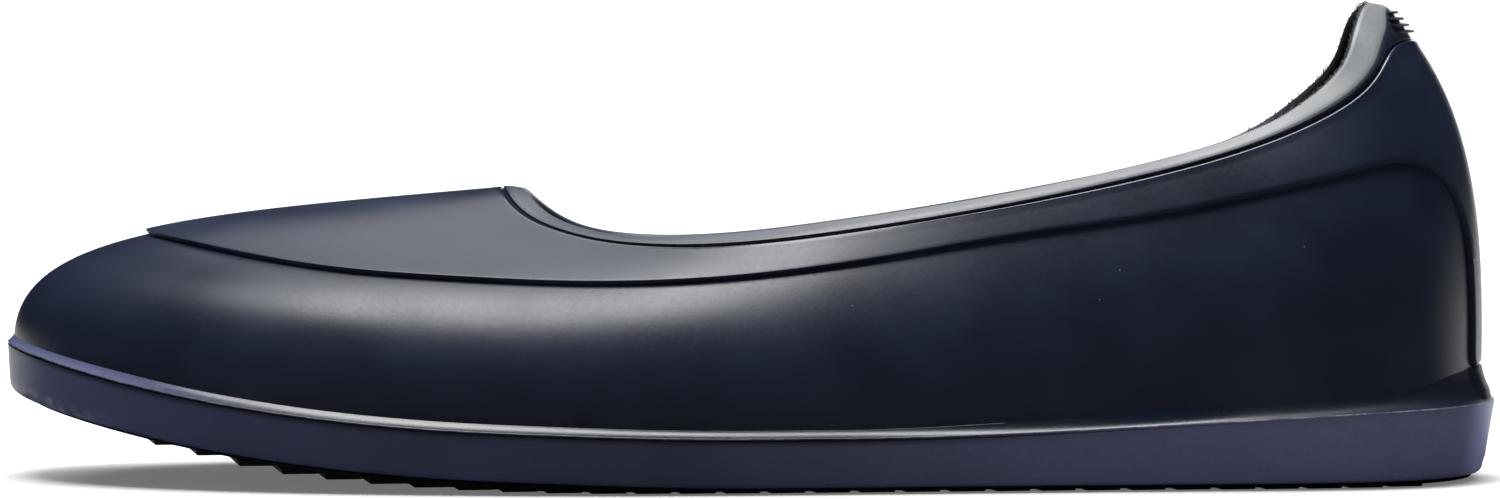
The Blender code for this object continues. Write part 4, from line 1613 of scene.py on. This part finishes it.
def plate(name: str, rows: Sequence[Array], levels: Sequence[Callable[[Array], Array]], across: int,
          material: bpy.types.Material, last: Last) -> bpy.types.Object:
    """A closed plate that fills the shoe's outline.

    Args:
        name: the object's name.
        rows: its edge, from the rim of its top to the rim of its underside.
        levels: level of the top and of the underside, as functions of the share of the length.
        across: how many parts the width is cut into.
        material: its material.
        last: the last, for the part's origin.

    Returns:
        The object.
    """
    weave = Weave()
    numbers = [weave.row(last.in_frame(points)) for points in rows]
    for first, second in zip(numbers, numbers[1:]):
        weave.band(first, second)
    count = len(rows[0])
    for edge, ring_numbers, level in ((rows[0], numbers[0], levels[0]), (rows[-1], numbers[-1], levels[1])):
        previous = [ring_numbers[0]] * (across + 1)
        for j in range(1, count // 2):
            near, far = edge[j], edge[count - j]
            inner = [near + (far - near) * k / across for k in range(1, across)]
            inner = np.array([(x, y, level(np.array([x / last.length]))[0]) for x, y, _ in inner])
            current = [ring_numbers[j], *weave.row(last.in_frame(inner)), ring_numbers[count - j]]
            weave.band(previous, current, closed=False)
            previous = current
        weave.band(previous, [ring_numbers[count // 2]] * (across + 1), closed=False)
    return weave.make(name, material)


@dataclass
class Footbed:
    """The thin cloth footbed."""

    last: Last
    wall: float = 0.0022
    gap: float = 0.0004
    thick: float = 0.0022
    side_columns: int = 160
    across: int = 16
    cloth: Cloth = Cloth("footbed_cloth", loop_size=0.0014)

    def build(self) -> None:
        """Make the footbed and hand it over."""
        last = self.last
        place = last.loop(self.side_columns)
        inset = last.ledge(last.value(place, Row.SHARE)) + self.wall + self.gap + 0.0008
        top = 0.0003 + self.thick
        rows = [
            last.in_section(place, inset + 0.0006, last.shelf_level, top),
            last.in_section(place, inset + 0.0002, last.shelf_level, top - 0.0002),
            last.in_section(place, inset, last.shelf_level, top - 0.0006),
            last.in_section(place, inset, last.shelf_level, 0.0003),
        ]
        levels = (lambda s: last.shelf_level(s) + top, lambda s: last.shelf_level(s) + 0.0003)
        bed = plate("footbed", rows, levels, self.across, self.cloth.material(), last)
        flat = np.empty(len(bed.data.vertices) * 3)
        bed.data.vertices.foreach_get("co", flat)
        points = flat.reshape(-1, 3)
        add_map(bed, points[:, 0], points[:, 1])
        hand_over(bed, "cloth_footbed", "insole")


@dataclass(frozen=True)
class Softbox:
    """One studio light.

    Attributes:
        name: its name.
        place: where it hangs.
        aim: the point that it faces.
        size: its width and height.
        power: its power in watts.
        mirrored: whether it shows in glossy surfaces.
    """

    name: str
    place: Colour
    aim: Colour
    size: tuple[float, float]
    power: float
    mirrored: bool = True

    def build(self) -> None:
        """Hang the light."""
        lamp = bpy.data.lights.new(self.name, "AREA")
        lamp.shape = "RECTANGLE"
        lamp.size, lamp.size_y = self.size
        lamp.energy = self.power
        item = bpy.data.objects.new(self.name, lamp)
        item.visible_camera = False
        item.visible_glossy = self.mirrored
        item.location = self.place
        item.rotation_euler = (Vector(self.aim) - Vector(self.place)).to_track_quat("-Z", "Y").to_euler()
        bpy.context.scene.collection.objects.link(item)


@dataclass
class Studio:
    """Pale floor, soft light and the camera at the photo's angle."""

    distance: float = 1.900
    camera_height: float = 0.140
    aim_height: float = 0.0475
    lens: float = 219.5
    floor_half: float = 30.0
    floor_seam: float = 0.06
    floor_tone: float = 0.44
    floor_glow: float = 0.15
    world_glow: float = 0.22
    softboxes: tuple[Softbox, ...] = (
        Softbox("top_softbox", (-0.09, -0.06, 1.25), (-0.04, -0.03, 0.0), (0.50, 1.00), 33.0),
        Softbox("back_softbox", (-0.05, 0.80, 1.25), (-0.02, 0.0, 0.05), (0.70, 0.50), 4.0),
        Softbox("floor_softbox", (0.0, 3.0, 3.0), (0.0, 3.2, 0.0), (6.0, 4.0), 480.0, False),
        Softbox("heel_softbox", (0.80, 2.70, 0.50), (0.1, 0.0, 0.05), (0.8, 1.2), 8.0),
    )

    def build_floor(self) -> None:
        """A plain pale floor that glows a little; its front half doesn't show in the glossy rubber."""
        half, seam = self.floor_half, self.floor_seam
        material, _, shader = new_finish("pale_floor")
        shader.inputs["Base Color"].default_value = rgba((self.floor_tone,) * 3)
        shader.inputs["Roughness"].default_value = 0.9
        shader.inputs["Specular IOR Level"].default_value = 0.0
        shader.inputs["Emission Color"].default_value = rgba((1.0, 1.0, 1.0))
        shader.inputs["Emission Strength"].default_value = self.floor_glow
        halves = (("floor_front", -half, seam, False), ("floor_back", seam, half, True))
        for name, near, far, mirrored in halves:
            mesh = bpy.data.meshes.new(name)
            corners = [(-half, near, 0), (half, near, 0), (half, far, 0), (-half, far, 0)]
            mesh.from_pydata(corners, [], [(0, 1, 2, 3)])
            mesh.materials.append(material)
            floor = bpy.data.objects.new(name, mesh)
            bpy.context.scene.collection.objects.link(floor)
            floor.visible_glossy = mirrored

    def build_camera(self) -> None:
        """The camera, level with the photo's: low, and square to the outer side."""
        camera = bpy.data.cameras.new("camera")
        camera.lens = self.lens
        camera.sensor_width = 36.0
        camera.clip_end = 100.0
        item = bpy.data.objects.new("camera", camera)
        item.location = (0.0, -self.distance, self.camera_height)
        aim = Vector((0.0, 0.0, self.aim_height))
        item.rotation_euler = (aim - item.location).to_track_quat("-Z", "Y").to_euler()
        bpy.context.scene.collection.objects.link(item)
        bpy.context.scene.camera = item

    def build(self) -> None:
        """Make the floor, the lights and the camera."""
        self.build_floor()
        self.build_camera()
        for softbox in self.softboxes:
            softbox.build()
        world = bpy.data.worlds.new("studio")
        world.use_nodes = True
        world.node_tree.nodes["Background"].inputs["Color"].default_value = rgba((1.0, 1.0, 1.0))
        world.node_tree.nodes["Background"].inputs["Strength"].default_value = self.world_glow
        world.cycles_visibility.glossy = False
        bpy.context.scene.world = world
        bpy.context.scene.view_settings.view_transform = "Standard"
        log.info("studio: %d softboxes", len(self.softboxes))


def main() -> None:
    """Dress the overshoe, piece by piece."""
    logging.basicConfig(level=logging.INFO, format="%(message)s")
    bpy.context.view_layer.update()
    last = Last.from_frame()
    binding = CollarBinding(last)
    pieces = (Upper(last), TopPanel(last), binding, LiningFray(last, binding), Sidewall(last),
              Outsole(last), Footbed(last))
    for piece in pieces:
        piece.build()
    Studio().build()


if __name__ == "__main__":
    main()
